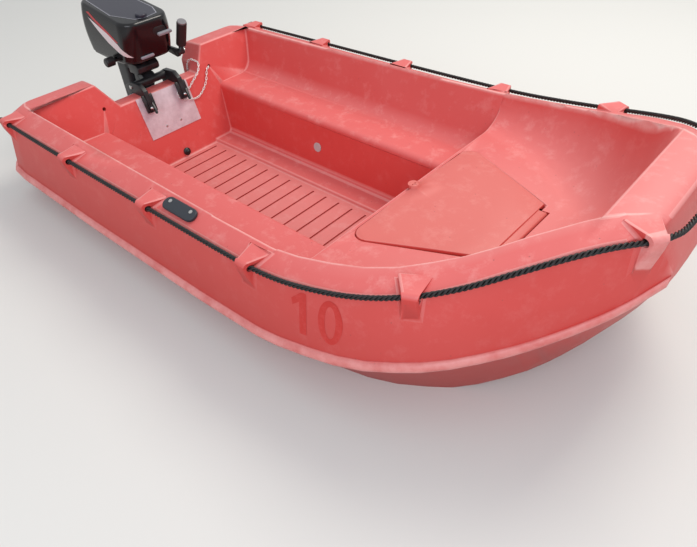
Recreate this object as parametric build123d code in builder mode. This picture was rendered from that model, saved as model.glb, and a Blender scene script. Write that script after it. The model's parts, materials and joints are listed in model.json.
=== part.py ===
from build123d import *
from math import cos, radians, sin, tan
import os

# A small moulded plastic boat with an outboard motor on its transom.
# Millimetres. X runs to the bow, Y to port, Z up. The origin lies on the
# centreline, amidships, in the plane of the water.

os.makedirs("parts", exist_ok=True)

# Hull moulding, outside
# Each row is one cross-section. Halves are distances from the centreline.
# columns: x, rub strake half, strake underside z, crease half, crease z,
#          rim half, rim z, chine half, chine z, keel z
HULL_TABLE = [
    (-1205, 646, 106, 600, 312, 522, 342, 500, -40, -96),
    (-1190, 676, 102, 628, 317, 546, 346, 522, -50, -108),
    (-1150, 698, 98, 648, 320, 563, 349, 540, -58, -120),
    (-1060, 706, 96, 655, 322, 571, 351, 550, -62, -127),
    (-880, 708, 95, 657, 324, 575, 353, 556, -64, -131),
    (-540, 709, 94, 658, 328, 580, 357, 559, -65, -133),
    (-200, 710, 95, 659, 334, 584, 361, 560, -66, -135),
    (80, 710, 105, 658, 338, 590, 366, 559, -65, -135),
    (330, 710, 120, 660, 346, 593, 375, 556, -60, -135),
    (620, 682, 170, 624, 388, 543, 420, 515, -45, -130),
    (820, 603, 218, 543, 450, 440, 487, 425, -5, -110),
    (970, 475, 262, 420, 522, 310, 557, 315, 70, -55),
    (1080, 350, 312, 312, 566, 222, 597, 210, 180, 70),
    (1150, 262, 360, 232, 574, 160, 596, 130, 285, 215),
    (1203, 170, 408, 158, 452, 120, 462, 80, 398, 392),
]
STATIONS = [
    -1205, -1190, -1150, -1060, -540, 80, 330, 353, 430, 530, 620, 700, 770, 830,
    885, 935, 980, 1020, 1046, 1080, 1112, 1137, 1160, 1182, 1203,
]
strake_radius = 17
strake_depth = 30

# Transom
transom_foot_x = -1000
transom_foot_z = 56
transom_rake = 17.7
transom_wall = 70
notch_bottom_z = 240
notch_bottom_half = 212
notch_top_half = 288
rim_top_z = 360
motor_well_half = 232
transom_hole_half = 287
transom_hole_z = 258
transom_hole_radius = 8

# Cockpit
bench_z = 168
bench_inner_half = 306
bench_foot_half = 282
bench_edge_radius = 28
bench_outer_half = 500
wall_blend = 40
sole_z = -74
ledge_z = -60
ledge_half = 176
deck_edge_x = 353
deck_z = 269

# Foredeck well
# columns: x, flat half, flat z
FORE_TABLE = [
    (353, 450, 269),
    (560, 372, 269),
    (760, 240, 270),
    (880, 150, 282),
    (960, 105, 340),
    (1012, 88, 440),
    (1046, 80, 575),
]

# Sole grooves
groove_pitch = 74
groove_width = 9
groove_depth = 5
groove_half = 148
first_groove_x = -930
last_groove_x = 310

# Locker
lid_aft_x = 368
lid_fore_x = 790
lid_aft_half = 350
lid_fore_half = 156
lid_gap = 5
seat_depth = 22
lid_crown_radius = 8300
lid_crown_z = 280
lid_tab_length = 30
lid_tab_half = 138
lid_corner_radius = 45
locker_flange = 26
locker_floor_z = -40
bin_fore_x = 745
bin_aft_half = 290
bin_fore_half = 130
seat_z = deck_z - seat_depth
lid_under_z = seat_z + lid_gap
hinge_radius = 10
hinge_x = lid_fore_x - lid_gap - hinge_radius
hinge_z = lid_under_z + hinge_radius
hinge_pin_radius = 3
hinge_socket = 24
running_gap = 0.1
boss_radius = 20
boss_height = 8
boss_hole_radius = 2
boss_hole_spread = 7

# Rope lugs
rope_radius = 7.5
rope_hole_radius = 10.5
rope_offset = 14
rope_rise = 4
LUG_X = [-1110, -645, -163, 310, 778, 1150]
lug_tip = 18
lug_top = 20
lug_reach = 80
lug_drop = 120
lug_round = 13
lug_width = 36
lug_root_width = 84
knot_radius = 13
knot_length = 24
rope_tail = 18
rope_bend = 40
seat_gap = 0.3
# Points of the grab rope round the bow, between the two fore lugs
BOW_ROPE = [(1184, 208, 576), (1199, 140, 566)]
ROPE_STATIONS = [430, 540, 660, 870, 950, 1020, 1090]

# Fittings on the hull
plate_width = 277
plate_height = 191
plate_thickness = 3
plug_radius = 18
plug_z = -50
plug_flange = 6
plug_knob_radius = 9
plug_knob_length = 12
disc_radius = 21
disc_thickness = 4
disc_x = -366
disc_z = 42
pad_length = 150
pad_width = 45
pad_height = 12
pad_x = -36

# Motor, clamped on the transom
# Sizes named n and a are measured from the notch's inner edge, n square to
# the transom and a up along it. Sizes named ahead and behind are measured
# from the steering axis.
clamp_y = 92
clamp_width = 22
clamp_n = 14
clamp_jaw = 16
clamp_drop = 75
clamp_fore_n = 34
clamp_fore_a = 20
clamp_crest_n = 10
clamp_crest_a = 52
clamp_ear = 22
clamp_aft_n = -101
clamp_heel = 9
clamp_heel_a = 60
clamp_neck_a = -20
clamp_foot_a = -190
clamp_screw_a = -55
screw_radius = 7
screw_pad_radius = 17
screw_pad_height = 5
screw_out_n = 50
handle_reach = 28
handle_radius = 5
tilt_n = -60
tilt_a = 48
tilt_rod_radius = 9
tilt_collar_radius = 18
rod_end = 4
trim_n = -86
trim_a = -150
trim_pin_radius = 5
swivel_side_gap = 5
swivel_web = 30
steer_setback = 75.5
steer_shaft_radius = 13
steer_tube_radius = 24
tube_foot_z = 56
tube_top_z = 300
yoke_gap = 5
yoke_height = 20
yoke_reach = 60
yoke_flange = 6
leg_fore_behind = 34
leg_chord = 110
leg_half = 35
leg_waist_half = 28
leg_foot_chord = 97
leg_foot_half = 22
plate_z = -165
anti_plate_half = 75
anti_plate_thickness = 6
anti_plate_ahead = 20
anti_plate_nose = 45
anti_plate_tail = 48
anti_plate_corner = 30
prop_z = -270
gearcase_radius = 30
gearcase_ahead = 14
gearcase_nose = 62
gearcase_tail = 107
gearcase_taper = 70
strut_nose = 40
strut_foot_half = 14
strut_foot_setback = 25
skeg_drop = 75
skeg_thickness = 8
skeg_rake = 80
skeg_foot = 50
prop_radius = 95
prop_hub_radius = 21
prop_hub_length = 44
prop_gap = 5
prop_shaft_radius = 8
prop_shaft_seat = 40
nut_radius = 11
nut_height = 9
shaft_end_radius = 5
shaft_end = 15
blade_count = 3
# columns: radius, chord, camber, pitch angle
BLADE_TABLE = [
    (18, 34, 5, 58),
    (55, 62, 4, 38),
    (prop_radius, 34, 2.5, 27),
]
cowl_foot_rise = 40
lower_cowl_height = 51
# columns: height over the lower cowl's foot, ahead, behind, half width, corner radius
LOWER_COWL_TABLE = [
    (0, 26, 156, 70, 40),
    (lower_cowl_height - 12, 154, 182, 112, 58),
    (lower_cowl_height, 162, 184, 116, 60),
]
# columns: height over the seam, ahead, behind, half width, corner radius
COWL_TABLE = [
    (0, 166, 186, 118, 62),
    (59, 180, 192, 122, 64),
    (118, 186, 193, 121, 64),
    (177, 182, 186, 114, 62),
    (236, 166, 170, 102, 58),
]
cowl_wall = 4
cowl_top_rise = 160
cowl_top_slope = 7.5
cowl_top_radius = 14
engine_ahead = 106
engine_behind = 124
engine_half = 75
engine_corner = 20
engine_height = 149
cap_ahead = 140
cap_radius = 24
cap_height = 14
cap_edge_radius = 5
knob_ahead = 30
knob_drop = 10
knob_y = -116
knob_stem_radius = 9
knob_stem = 10
knob_radius = 20
knob_length = 38
knob_edge_radius = 8
tiller_ahead = 172
tiller_drop = 18
tiller_lean = 22
tiller_arm_radius = 11
tiller_knuckle = 24
tiller_knuckle_radius = 14
tiller_pin_radius = 7
tiller_pin_head = 4
tiller_bracket_y = 109
tiller_bracket_width = 12
tiller_bracket_run = 150
tiller_gap = 1
grip_start = 34
grip_radius = 22
grip_length = 112
grip_cap = 9

def slope_at(table, index, column):
    """Slope of a column at a row that keeps the curve between its rows."""
    last = len(table) - 1
    slopes = []
    for start in (max(index - 1, 0), min(index, last - 1)):
        aft, fore = table[start], table[start + 1]
        slopes.append((fore[column] - aft[column]) / (fore[0] - aft[0]))
    if slopes[0] * slopes[1] <= 0:
        return 0
    return 2 * slopes[0] * slopes[1] / (slopes[0] + slopes[1])


def faired(table, x):
    """Row of a table at any x, on a smooth curve through its rows."""
    index = max([i for i in range(len(table) - 1) if table[i][0] <= x] + [0])
    aft, fore = table[index], table[index + 1]
    span = fore[0] - aft[0]
    t = (x - aft[0]) / span
    row = [x]
    for column in range(1, len(aft)):
        aft_slope = slope_at(table, index, column) * span
        fore_slope = slope_at(table, index + 1, column) * span
        row.append(
            (2 * t**3 - 3 * t**2 + 1) * aft[column]
            + (t**3 - 2 * t**2 + t) * aft_slope
            + (3 * t**2 - 2 * t**3) * fore[column]
            + (t**3 - t**2) * fore_slope
        )
    return row


def row_at(x):
    """Hull section at any x, straight from one station to the next."""
    x = min(max(x, STATIONS[0]), STATIONS[-1])
    index = max(i for i in range(len(STATIONS) - 1) if STATIONS[i] <= x)
    aft = faired(HULL_TABLE, STATIONS[index])
    fore = faired(HULL_TABLE, STATIONS[index + 1])
    share = (x - aft[0]) / (fore[0] - aft[0])
    return [a + share * (b - a) for a, b in zip(aft, fore)]


def cross_plane(x):
    """A plane across the boat: its x runs to port and its y runs up."""
    return Plane(origin=(x, 0, 0), x_dir=(0, 1, 0), z_dir=(1, 0, 0))


def transom_x(z):
    """Place of the transom's inner face at height z."""
    return transom_foot_x - (z - transom_foot_z) * tan(radians(transom_rake))


def transom_plane(setback, z=transom_foot_z):
    """Plane along the transom, facing aft, set back from the inner face."""
    tilt = radians(transom_rake)
    return Plane(
        origin=(transom_x(z) - setback, 0, z),
        x_dir=(0, 1, 0),
        z_dir=(-cos(tilt), 0, -sin(tilt)),
    )


# Hull moulding
with BuildPart() as hull:
    for station in STATIONS:
        x, sh, sz, ch, cz, rh, rz, bh, bz, kz = row_at(station)
        with BuildSketch(cross_plane(x)):
            with BuildLine():
                side = Polyline(
                    (0, kz), (bh, bz), (sh - strake_depth, sz + 6), (sh - strake_radius, sz)
                )
                lip = ThreePointArc(
                    side @ 1, (sh, sz + strake_radius), (sh - strake_radius, sz + 2 * strake_radius)
                )
                Polyline(lip @ 1, (ch, cz), (rh, rz), (0, rz))
                mirror(about=Plane.YZ)
            make_face()
    loft(ruled=True)


def closed_half(*points):
    """Closed outline on one plane, drawn on one side and mirrored."""
    Polyline(*points)
    mirror(about=Plane.YZ)


# Upper cockpit, cut down to the benches
with BuildPart() as upper_well:
    for x in [x for x in STATIONS if -1160 < x <= deck_edge_x]:
        row = row_at(x)
        rim_half, rim_z = row[5], row[6]
        with BuildSketch(cross_plane(x)):
            with BuildLine():
                floor = Line((0, bench_z), (bench_outer_half - wall_blend, bench_z))
                blend = ThreePointArc(
                    floor @ 1,
                    (bench_outer_half - 2, bench_z + 14),
                    (bench_outer_half + 26, bench_z + wall_blend + 10),
                )
                slope = (rim_half - bench_outer_half - 26) / (rim_z - bench_z - wall_blend - 10)
                above = 60
                Polyline(
                    blend @ 1,
                    (rim_half, rim_z),
                    (rim_half + slope * above, rim_z + above),
                    (0, rim_z + above),
                )
                mirror(about=Plane.YZ)
            make_face()
    loft(ruled=True)
    split(bisect_by=transom_plane(0), keep=Keep.BOTTOM)

# Foot well between the benches
with BuildPart() as foot_well:
    with BuildSketch(cross_plane(-1240)):
        with BuildLine():
            sole = Polyline(
                (0, sole_z),
                (ledge_half, sole_z),
                (ledge_half + 3, ledge_z),
                (bench_foot_half - 14, ledge_z),
                (bench_foot_half, ledge_z + 16),
                (bench_inner_half, bench_z - bench_edge_radius),
            )
            edge = ThreePointArc(
                sole @ 1,
                (bench_inner_half + 0.3 * bench_edge_radius, bench_z - 0.3 * bench_edge_radius),
                (bench_inner_half + bench_edge_radius, bench_z),
            )
            Polyline(edge @ 1, (bench_inner_half + bench_edge_radius, bench_z + 8), (0, bench_z + 8))
            mirror(about=Plane.YZ)
        make_face()
    extrude(amount=deck_edge_x + 1240)
    split(bisect_by=transom_plane(0), keep=Keep.BOTTOM)

# Dished foredeck
with BuildPart() as fore_well:
    for station in [x for x in STATIONS if deck_edge_x <= x <= FORE_TABLE[-1][0]]:
        x, half, z = faired(FORE_TABLE, station)
        row = row_at(x)
        rim_half, rim_z = row[5], row[6]
        rise = rim_z - z
        run = rim_half - half
        with BuildSketch(cross_plane(x)):
            with BuildLine():
                flat = Line((0, z), (half, z))
                dish = ThreePointArc(
                    flat @ 1, (half + 0.7 * run, z + 0.32 * rise), (rim_half, rim_z)
                )
                Polyline(dish @ 1, (rim_half, rim_z + 40), (0, rim_z + 40))
                mirror(about=Plane.YZ)
            make_face()
    loft(ruled=True)

# Notch for the motor, wide at the top
with BuildPart() as notch:
    with BuildSketch(cross_plane(-1260)):
        with BuildLine():
            closed_half(
                (0, notch_bottom_z),
                (notch_bottom_half, notch_bottom_z),
                (notch_top_half, rim_top_z),
                (notch_top_half + 30, rim_top_z + 60),
                (0, rim_top_z + 60),
            )
        make_face()
    extrude(amount=260)

# Space behind the transom for the motor's leg
with BuildPart() as motor_well:
    with BuildSketch(Plane.XY.offset(-200)):
        with Locations((-1300, 0)):
            Rectangle(800, 2 * motor_well_half)
    extrude(amount=700)
    split(bisect_by=transom_plane(transom_wall), keep=Keep.TOP)

# Grooves that drain the sole
with BuildPart() as grooves:
    count = int((last_groove_x - first_groove_x) / groove_pitch) + 1
    with BuildSketch(Plane.XY.offset(sole_z - groove_depth)):
        for index in range(count):
            with Locations((first_groove_x + index * groove_pitch, 0)):
                SlotOverall(2 * groove_half, groove_width, rotation=90)
    extrude(amount=groove_depth + 1)


def lid_outline(inset):
    """Locker lid: a trapezoid with a narrower hinge tab along its fore edge."""
    slope = (lid_aft_half - lid_fore_half) / (lid_fore_x - lid_aft_x)
    aft_x = lid_aft_x + inset
    tab_x = lid_fore_x - lid_tab_length - inset
    aft_half = lid_aft_half - inset * (1 + slope)
    tab_half = lid_aft_half - slope * (tab_x - lid_aft_x) - inset
    outline = [
        (aft_x, aft_half),
        (tab_x, tab_half),
        (tab_x, lid_tab_half - inset),
        (lid_fore_x - inset, lid_tab_half - inset),
    ]
    return outline + [(x, -half) for x, half in reversed(outline)]


# Locker under the lid: a shallow seat, then the bin
with BuildPart() as locker:
    with BuildSketch(Plane.XY.offset(seat_z)) as seat:
        Polygon(*lid_outline(0), align=None)
        fillet(seat.vertices().group_by(Axis.X)[0], lid_corner_radius)
    extrude(amount=seat_depth + 60)
    with BuildSketch(Plane.XY.offset(locker_floor_z)):
        Polygon(
            (lid_aft_x + locker_flange, bin_aft_half),
            (lid_aft_x + locker_flange, -bin_aft_half),
            (bin_fore_x, -bin_fore_half),
            (bin_fore_x, bin_fore_half),
            align=None,
        )
    extrude(amount=seat_z - locker_floor_z)


def rope_point(x, side):
    """Where the grab rope's centre passes at x, and its outward direction."""
    half, z = row_at(x)[3:5]
    slope = (row_at(x + 20)[3] - row_at(x - 20)[3]) / 40
    out = Vector(-slope, side, 0).normalized()
    return Vector(x, side * half, z + rope_rise) + out * rope_offset, out


# Route of the rope on the port side, from its aft end to the bow
stations = sorted(LUG_X + ROPE_STATIONS)
port = [rope_point(x, 1)[0] for x in stations]
astern = (port[0] - port[1]).normalized()
lug_half_at_hole = lug_width / 2 + lug_tip / lug_reach * (lug_root_width - lug_width) / 2
lug_side_lean = (lug_root_width - lug_width) / 2 / lug_reach * knot_radius
knot_face = port[0] + astern * (lug_half_at_hole + lug_side_lean + seat_gap)
rope_end = knot_face + astern * (knot_length + rope_tail)
route = [rope_end] + port[1:] + [Vector(*point) for point in BOW_ROPE]


def rope_way(x):
    """Direction of the port rope through its lug at x."""
    if x == LUG_X[0]:
        return -astern
    index = stations.index(x)
    return (route[index + 1] - route[index - 1]).normalized()


def lug(x, side):
    """One lug of the grab rope: a fin that widens down into the topside."""
    at, out = rope_point(x, side)
    along = out.cross(Vector(0, 0, 1))
    root = lug_tip - lug_reach
    with BuildPart() as fin:
        with BuildSketch(Plane(origin=at, x_dir=out, z_dir=along)):
            with BuildLine():
                top = Line((root, lug_top), (lug_tip - lug_round, lug_top))
                corner = ThreePointArc(
                    top @ 1,
                    (lug_tip - 0.3 * lug_round, lug_top - 0.3 * lug_round),
                    (lug_tip, lug_top - lug_round),
                )
                Polyline(
                    corner @ 1,
                    (lug_tip - 3, -lug_top),
                    (lug_tip - 30, lug_top - lug_drop),
                    (root, lug_top - lug_drop),
                    top @ 0,
                )
            make_face()
        extrude(amount=lug_root_width / 2, both=True)
        with BuildSketch(Plane(origin=at - Vector(0, 0, 150), x_dir=out, z_dir=(0, 0, 1))):
            Polygon(
                (root, lug_root_width / 2),
                (root, -lug_root_width / 2),
                (lug_tip, -lug_width / 2),
                (lug_tip, lug_width / 2),
                align=None,
            )
        extrude(amount=300, mode=Mode.INTERSECT)
        way = rope_way(x)
        with BuildSketch(Plane(origin=at, z_dir=(way.X, side * way.Y, way.Z))):
            Circle(rope_hole_radius)
        extrude(amount=lug_root_width, both=True, mode=Mode.SUBTRACT)
    return fin.part


lugs = [lug(x, side) for x in LUG_X for side in (1, -1)]

with BuildPart() as moulding:
    add(hull.part)
    add(lugs)
    add(upper_well.part, mode=Mode.SUBTRACT)
    add(foot_well.part, mode=Mode.SUBTRACT)
    add(fore_well.part, mode=Mode.SUBTRACT)
    add(notch.part, mode=Mode.SUBTRACT)
    add(motor_well.part, mode=Mode.SUBTRACT)
    add(grooves.part, mode=Mode.SUBTRACT)
    add(locker.part, mode=Mode.SUBTRACT)
    # sockets of the lid's hinge pins, and the holes through the transom
    with Locations(
        Location((hinge_x, lid_tab_half, hinge_z), (90, 0, 0)),
        Location((hinge_x, -lid_tab_half, hinge_z), (90, 0, 0)),
    ):
        Cylinder(hinge_pin_radius, 2 * hinge_socket, mode=Mode.SUBTRACT)
    with BuildSketch(transom_plane(-20, transom_hole_z)):
        with Locations((transom_hole_half, 0), (-transom_hole_half, 0)):
            Circle(transom_hole_radius)
    extrude(amount=400, mode=Mode.SUBTRACT)
moulding.part.label = "hull"
export_step(moulding.part, "parts/hull.step")

# Grab rope, threaded through the lugs and round the bow
with BuildPart() as grab_rope:
    with BuildLine() as path:
        FilletPolyline(
            *route,
            *[Vector(point.X, -point.Y, point.Z) for point in reversed(route)],
            radius=rope_bend,
        )
    with BuildSketch(Plane(origin=rope_end, z_dir=-astern)):
        Circle(rope_radius)
    sweep()
    for side in (1, -1):
        face = Vector(knot_face.X, side * knot_face.Y, knot_face.Z)
        away = Vector(astern.X, side * astern.Y, astern.Z)
        with BuildSketch(Plane(origin=face, z_dir=away)):
            Circle(knot_radius)
        extrude(amount=knot_length)
grab_rope.part.label = "grab_rope"
export_step(grab_rope.part, "parts/grab_rope.step")

# Locker lid, domed, hinged along its narrow fore edge
with BuildPart() as locker_lid:
    with BuildSketch(Plane.XY.offset(lid_under_z)) as plate:
        Polygon(*lid_outline(lid_gap), align=None)
        fillet(plate.vertices().group_by(Axis.X)[0], lid_corner_radius - lid_gap)
    extrude(amount=lid_crown_z - lid_under_z)
    with Locations(((lid_aft_x + lid_fore_x) / 2, 0, lid_crown_z - lid_crown_radius)):
        Sphere(lid_crown_radius, mode=Mode.INTERSECT)
    # the tab is cut down to a round nose about the hinge pins
    tab_x = lid_fore_x - lid_tab_length - lid_gap
    with BuildSketch(Plane.XZ):
        with BuildLine():
            Polyline(
                (tab_x, hinge_z + hinge_radius),
                (tab_x, hinge_z + 60),
                (lid_fore_x, hinge_z + 60),
                (lid_fore_x, hinge_z - 30),
                (hinge_x, hinge_z - 30),
                (hinge_x, hinge_z - hinge_radius),
            )
            ThreePointArc(
                (hinge_x, hinge_z - hinge_radius),
                (hinge_x + hinge_radius, hinge_z),
                (hinge_x, hinge_z + hinge_radius),
            )
            Line((hinge_x, hinge_z + hinge_radius), (tab_x, hinge_z + hinge_radius))
        make_face()
    extrude(amount=lid_tab_half, both=True, mode=Mode.SUBTRACT)
    with Locations(
        Location((hinge_x, lid_tab_half, hinge_z), (90, 0, 0)),
        Location((hinge_x, -lid_tab_half, hinge_z), (90, 0, 0)),
    ):
        Cylinder(hinge_pin_radius + running_gap, 2 * hinge_socket + 1, mode=Mode.SUBTRACT)
    # lock boss with two finger holes
    with BuildSketch(Plane.XY.offset(deck_z + lid_gap)):
        with Locations((lid_aft_x + lid_gap, 0)):
            Circle(boss_radius)
            with Locations((0, boss_hole_spread), (0, -boss_hole_spread)):
                Circle(boss_hole_radius, mode=Mode.SUBTRACT)
    extrude(amount=boss_height + lid_gap)
locker_lid.part.label = "locker_lid"
export_step(locker_lid.part, "parts/locker_lid.step")

with BuildPart() as lid_pins:
    for side in (1, -1):
        middle = side * lid_tab_half
        with Locations(Location((hinge_x, middle, hinge_z), (90, 0, 0))):
            Cylinder(hinge_pin_radius, 2 * hinge_socket)
lid_pins.part.label = "lid_pins"
export_step(lid_pins.part, "parts/lid_pins.step")

# Pressure plates on both faces of the transom
with BuildPart() as transom_plates:
    with BuildSketch(transom_plane(0)):
        with Locations((0, -plate_height / 2)):
            Rectangle(plate_width, plate_height)
    extrude(amount=-plate_thickness)
    with BuildSketch(transom_plane(transom_wall)):
        with Locations((0, -plate_height / 2)):
            Rectangle(plate_width, plate_height)
    extrude(amount=plate_thickness)
transom_plates.part.label = "transom_plates"
export_step(transom_plates.part, "parts/transom_plates.step")

# Drain plug at the transom's foot
with BuildPart() as drain_plug:
    with BuildSketch(transom_plane(0, plug_z)):
        Circle(plug_radius)
    extrude(amount=-plug_flange)
    chamfer(drain_plug.edges().sort_by(Axis.X)[-1], 1.5)
    with BuildSketch(transom_plane(0, plug_z)):
        Circle(plug_knob_radius)
    extrude(amount=-plug_flange - plug_knob_length)
drain_plug.part.label = "drain_plug"
export_step(drain_plug.part, "parts/drain_plug.step")

# Blank disc on the port bench's inner face
with BuildPart() as bench_disc:
    rise = bench_z - bench_edge_radius - ledge_z - 16
    run = bench_inner_half - bench_foot_half
    face_y = bench_foot_half + run * (disc_z - ledge_z - 16) / rise
    with BuildSketch(Plane(origin=(disc_x, face_y, disc_z), x_dir=(1, 0, 0), z_dir=(0, -rise, run))):
        Circle(disc_radius)
    extrude(amount=disc_thickness)
    chamfer(bench_disc.edges().sort_by(Axis.Y)[0], 1)
bench_disc.part.label = "bench_disc"
export_step(bench_disc.part, "parts/bench_disc.step")

def band_middle(x):
    """Middle of the starboard gunwale's sloped band at x."""
    row = row_at(x)
    return Vector(x, -(row[3] + row[5]) / 2, (row[4] + row[6]) / 2)


# Pad on the starboard gunwale
row = row_at(pad_x)
across = Vector(0, row[3] - row[5], row[6] - row[4])
along = band_middle(pad_x + pad_length / 2) - band_middle(pad_x - pad_length / 2)
normal = along.cross(across).normalized()
seat = Plane(origin=band_middle(pad_x) + normal * seat_gap, x_dir=along, z_dir=normal)
with BuildPart() as side_pad:
    with BuildSketch(seat):
        SlotOverall(pad_length, pad_width)
    extrude(amount=pad_height)
    fillet(side_pad.faces().sort_by(Axis.Z)[-1].edges(), 4)
side_pad.part.label = "side_pad"
export_step(side_pad.part, "parts/side_pad.step")

tilt = radians(transom_rake)
transom_frame = Plane(
    origin=(transom_x(notch_bottom_z), 0, notch_bottom_z),
    x_dir=(cos(tilt), 0, sin(tilt)),
    z_dir=(0, -1, 0),
)
outer_n = -transom_wall * cos(tilt) - plate_thickness


def transom_point(n, a):
    """Place in the boat of a point measured along the transom."""
    return transom_frame.from_local_coords((n, a, 0))


def over_notch(n):
    """Height a, at n, of a line just above the notch's bottom."""
    return seat_gap - n * tan(tilt)


def side_plane(y):
    """Plane seen from starboard at a given y: its x runs forward and its y up."""
    return Plane.XZ.offset(-y)


# Clamp brackets, hooked over the notch
with BuildPart() as clamp_brackets:
    for y in (clamp_y, -clamp_y):
        with BuildSketch(transom_frame.offset(-y)):
            Polygon(
                (clamp_n, -clamp_drop),
                (clamp_n + clamp_jaw, -clamp_drop),
                (clamp_fore_n, clamp_fore_a),
                (clamp_crest_n, clamp_crest_a),
                (tilt_n, tilt_a + clamp_ear),
                (clamp_aft_n - clamp_heel, clamp_heel_a),
                (clamp_aft_n, clamp_neck_a),
                (clamp_aft_n, clamp_foot_a),
                (outer_n, clamp_foot_a),
                (outer_n, over_notch(outer_n)),
                (clamp_n, over_notch(clamp_n)),
                align=None,
            )
            with Locations((tilt_n, tilt_a)):
                Circle(tilt_rod_radius, mode=Mode.SUBTRACT)
            with Locations((trim_n, trim_a)):
                Circle(trim_pin_radius, mode=Mode.SUBTRACT)
        extrude(amount=clamp_width / 2, both=True)
        screw_axis = Plane(
            origin=transom_point(0, clamp_screw_a) + Vector(0, y, 0),
            x_dir=(0, 1, 0),
            z_dir=transom_frame.x_dir,
        )
        with BuildSketch(screw_axis):
            Circle(screw_radius)
        extrude(amount=screw_out_n, mode=Mode.SUBTRACT)
clamp_brackets.part.label = "clamp_brackets"
export_step(clamp_brackets.part, "parts/clamp_brackets.step")

# Clamp screws with their pads and folding handles
with BuildPart() as clamp_screws:
    for y in (clamp_y, -clamp_y):
        screw_axis = Plane(
            origin=transom_point(plate_thickness, clamp_screw_a) + Vector(0, y, 0),
            x_dir=(0, 1, 0),
            z_dir=transom_frame.x_dir,
        )
        with BuildSketch(screw_axis):
            Circle(screw_pad_radius)
        extrude(amount=screw_pad_height)
        with BuildSketch(screw_axis):
            Circle(screw_radius)
        extrude(amount=screw_out_n - plate_thickness)
        handle = transom_point(screw_out_n, clamp_screw_a) + Vector(0, y, 0)
        with BuildSketch(Plane(origin=handle, x_dir=(0, 1, 0), z_dir=transom_frame.x_dir)):
            SlotOverall(2 * handle_reach, 2 * handle_radius, rotation=90)
        extrude(amount=2 * handle_radius - 2)
clamp_screws.part.label = "clamp_screws"
export_step(clamp_screws.part, "parts/clamp_screws.step")

clamp_outside = clamp_y + clamp_width / 2
clamp_inside = clamp_y - clamp_width / 2
tilt_axis = transom_point(tilt_n, tilt_a)
trim_axis = transom_point(trim_n, trim_a)
steer_x = tilt_axis.X - steer_setback
leg_fore_x = steer_x - leg_fore_behind
leg_aft_x = leg_fore_x - leg_chord
leg_foot_x = leg_aft_x + 5

# Rod that the motor tilts about, and the pin that its foot rests against
with BuildPart() as tilt_rods:
    with BuildSketch(side_plane(0)):
        with Locations((tilt_axis.X, tilt_axis.Z)):
            Circle(tilt_rod_radius)
    extrude(amount=clamp_outside + rod_end, both=True)
    with BuildSketch(side_plane(0)):
        with Locations((trim_axis.X, trim_axis.Z)):
            Circle(trim_pin_radius)
    extrude(amount=clamp_outside + rod_end, both=True)
tilt_rods.part.label = "tilt_rods"
export_step(tilt_rods.part, "parts/tilt_rods.step")

# Swivel bracket: collar on the tilt rod, web, and the steering tube
trim_stop_x = trim_axis.X - trim_pin_radius - seat_gap
swivel_neck_x = steer_x + steer_tube_radius + 17.5
with BuildPart() as swivel_bracket:
    with BuildSketch(side_plane(0)):
        Polygon(
            (tilt_axis.X + 6, tilt_axis.Z + 17),
            (tilt_axis.X - 5, tilt_axis.Z - 16),
            (tilt_axis.X - 20, tilt_axis.Z - 32),
            (swivel_neck_x, tilt_axis.Z - 77),
            (swivel_neck_x, trim_axis.Z + 39),
            (trim_stop_x, trim_axis.Z + 14),
            (trim_stop_x, tube_foot_z),
            (steer_x, tube_foot_z),
            (steer_x, tube_top_z),
            (tilt_axis.X - 10, tube_top_z - 4),
            align=None,
        )
    extrude(amount=swivel_web, both=True)
    with BuildSketch(side_plane(0)):
        with Locations((tilt_axis.X, tilt_axis.Z)):
            Circle(tilt_collar_radius)
    extrude(amount=clamp_inside - swivel_side_gap, both=True)
    with BuildSketch(Plane.XY.offset(tube_foot_z)):
        with Locations((steer_x, 0)):
            Circle(steer_tube_radius)
            Rectangle(steer_tube_radius, 2 * swivel_web, align=(Align.MIN, Align.CENTER))
    extrude(amount=tube_top_z - tube_foot_z)
    with BuildSketch(side_plane(0)):
        with Locations((tilt_axis.X, tilt_axis.Z)):
            Circle(tilt_rod_radius + running_gap)
    extrude(amount=clamp_outside, both=True, mode=Mode.SUBTRACT)
    with BuildSketch(Plane.XY.offset(tube_foot_z - 1)):
        with Locations((steer_x, 0)):
            Circle(steer_shaft_radius + running_gap)
    extrude(amount=tube_top_z - tube_foot_z + 2, mode=Mode.SUBTRACT)
swivel_bracket.part.label = "swivel_bracket"
export_step(swivel_bracket.part, "parts/swivel_bracket.step")


def rounded_section(z, fore_x, aft_x, half, radius):
    """Rounded rectangle at height z, for a cowl loft."""
    with BuildSketch(Plane.XY.offset(z)) as section:
        with Locations(((fore_x + aft_x) / 2, 0)):
            RectangleRounded(fore_x - aft_x, 2 * half, radius)
    return section.sketch


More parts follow.
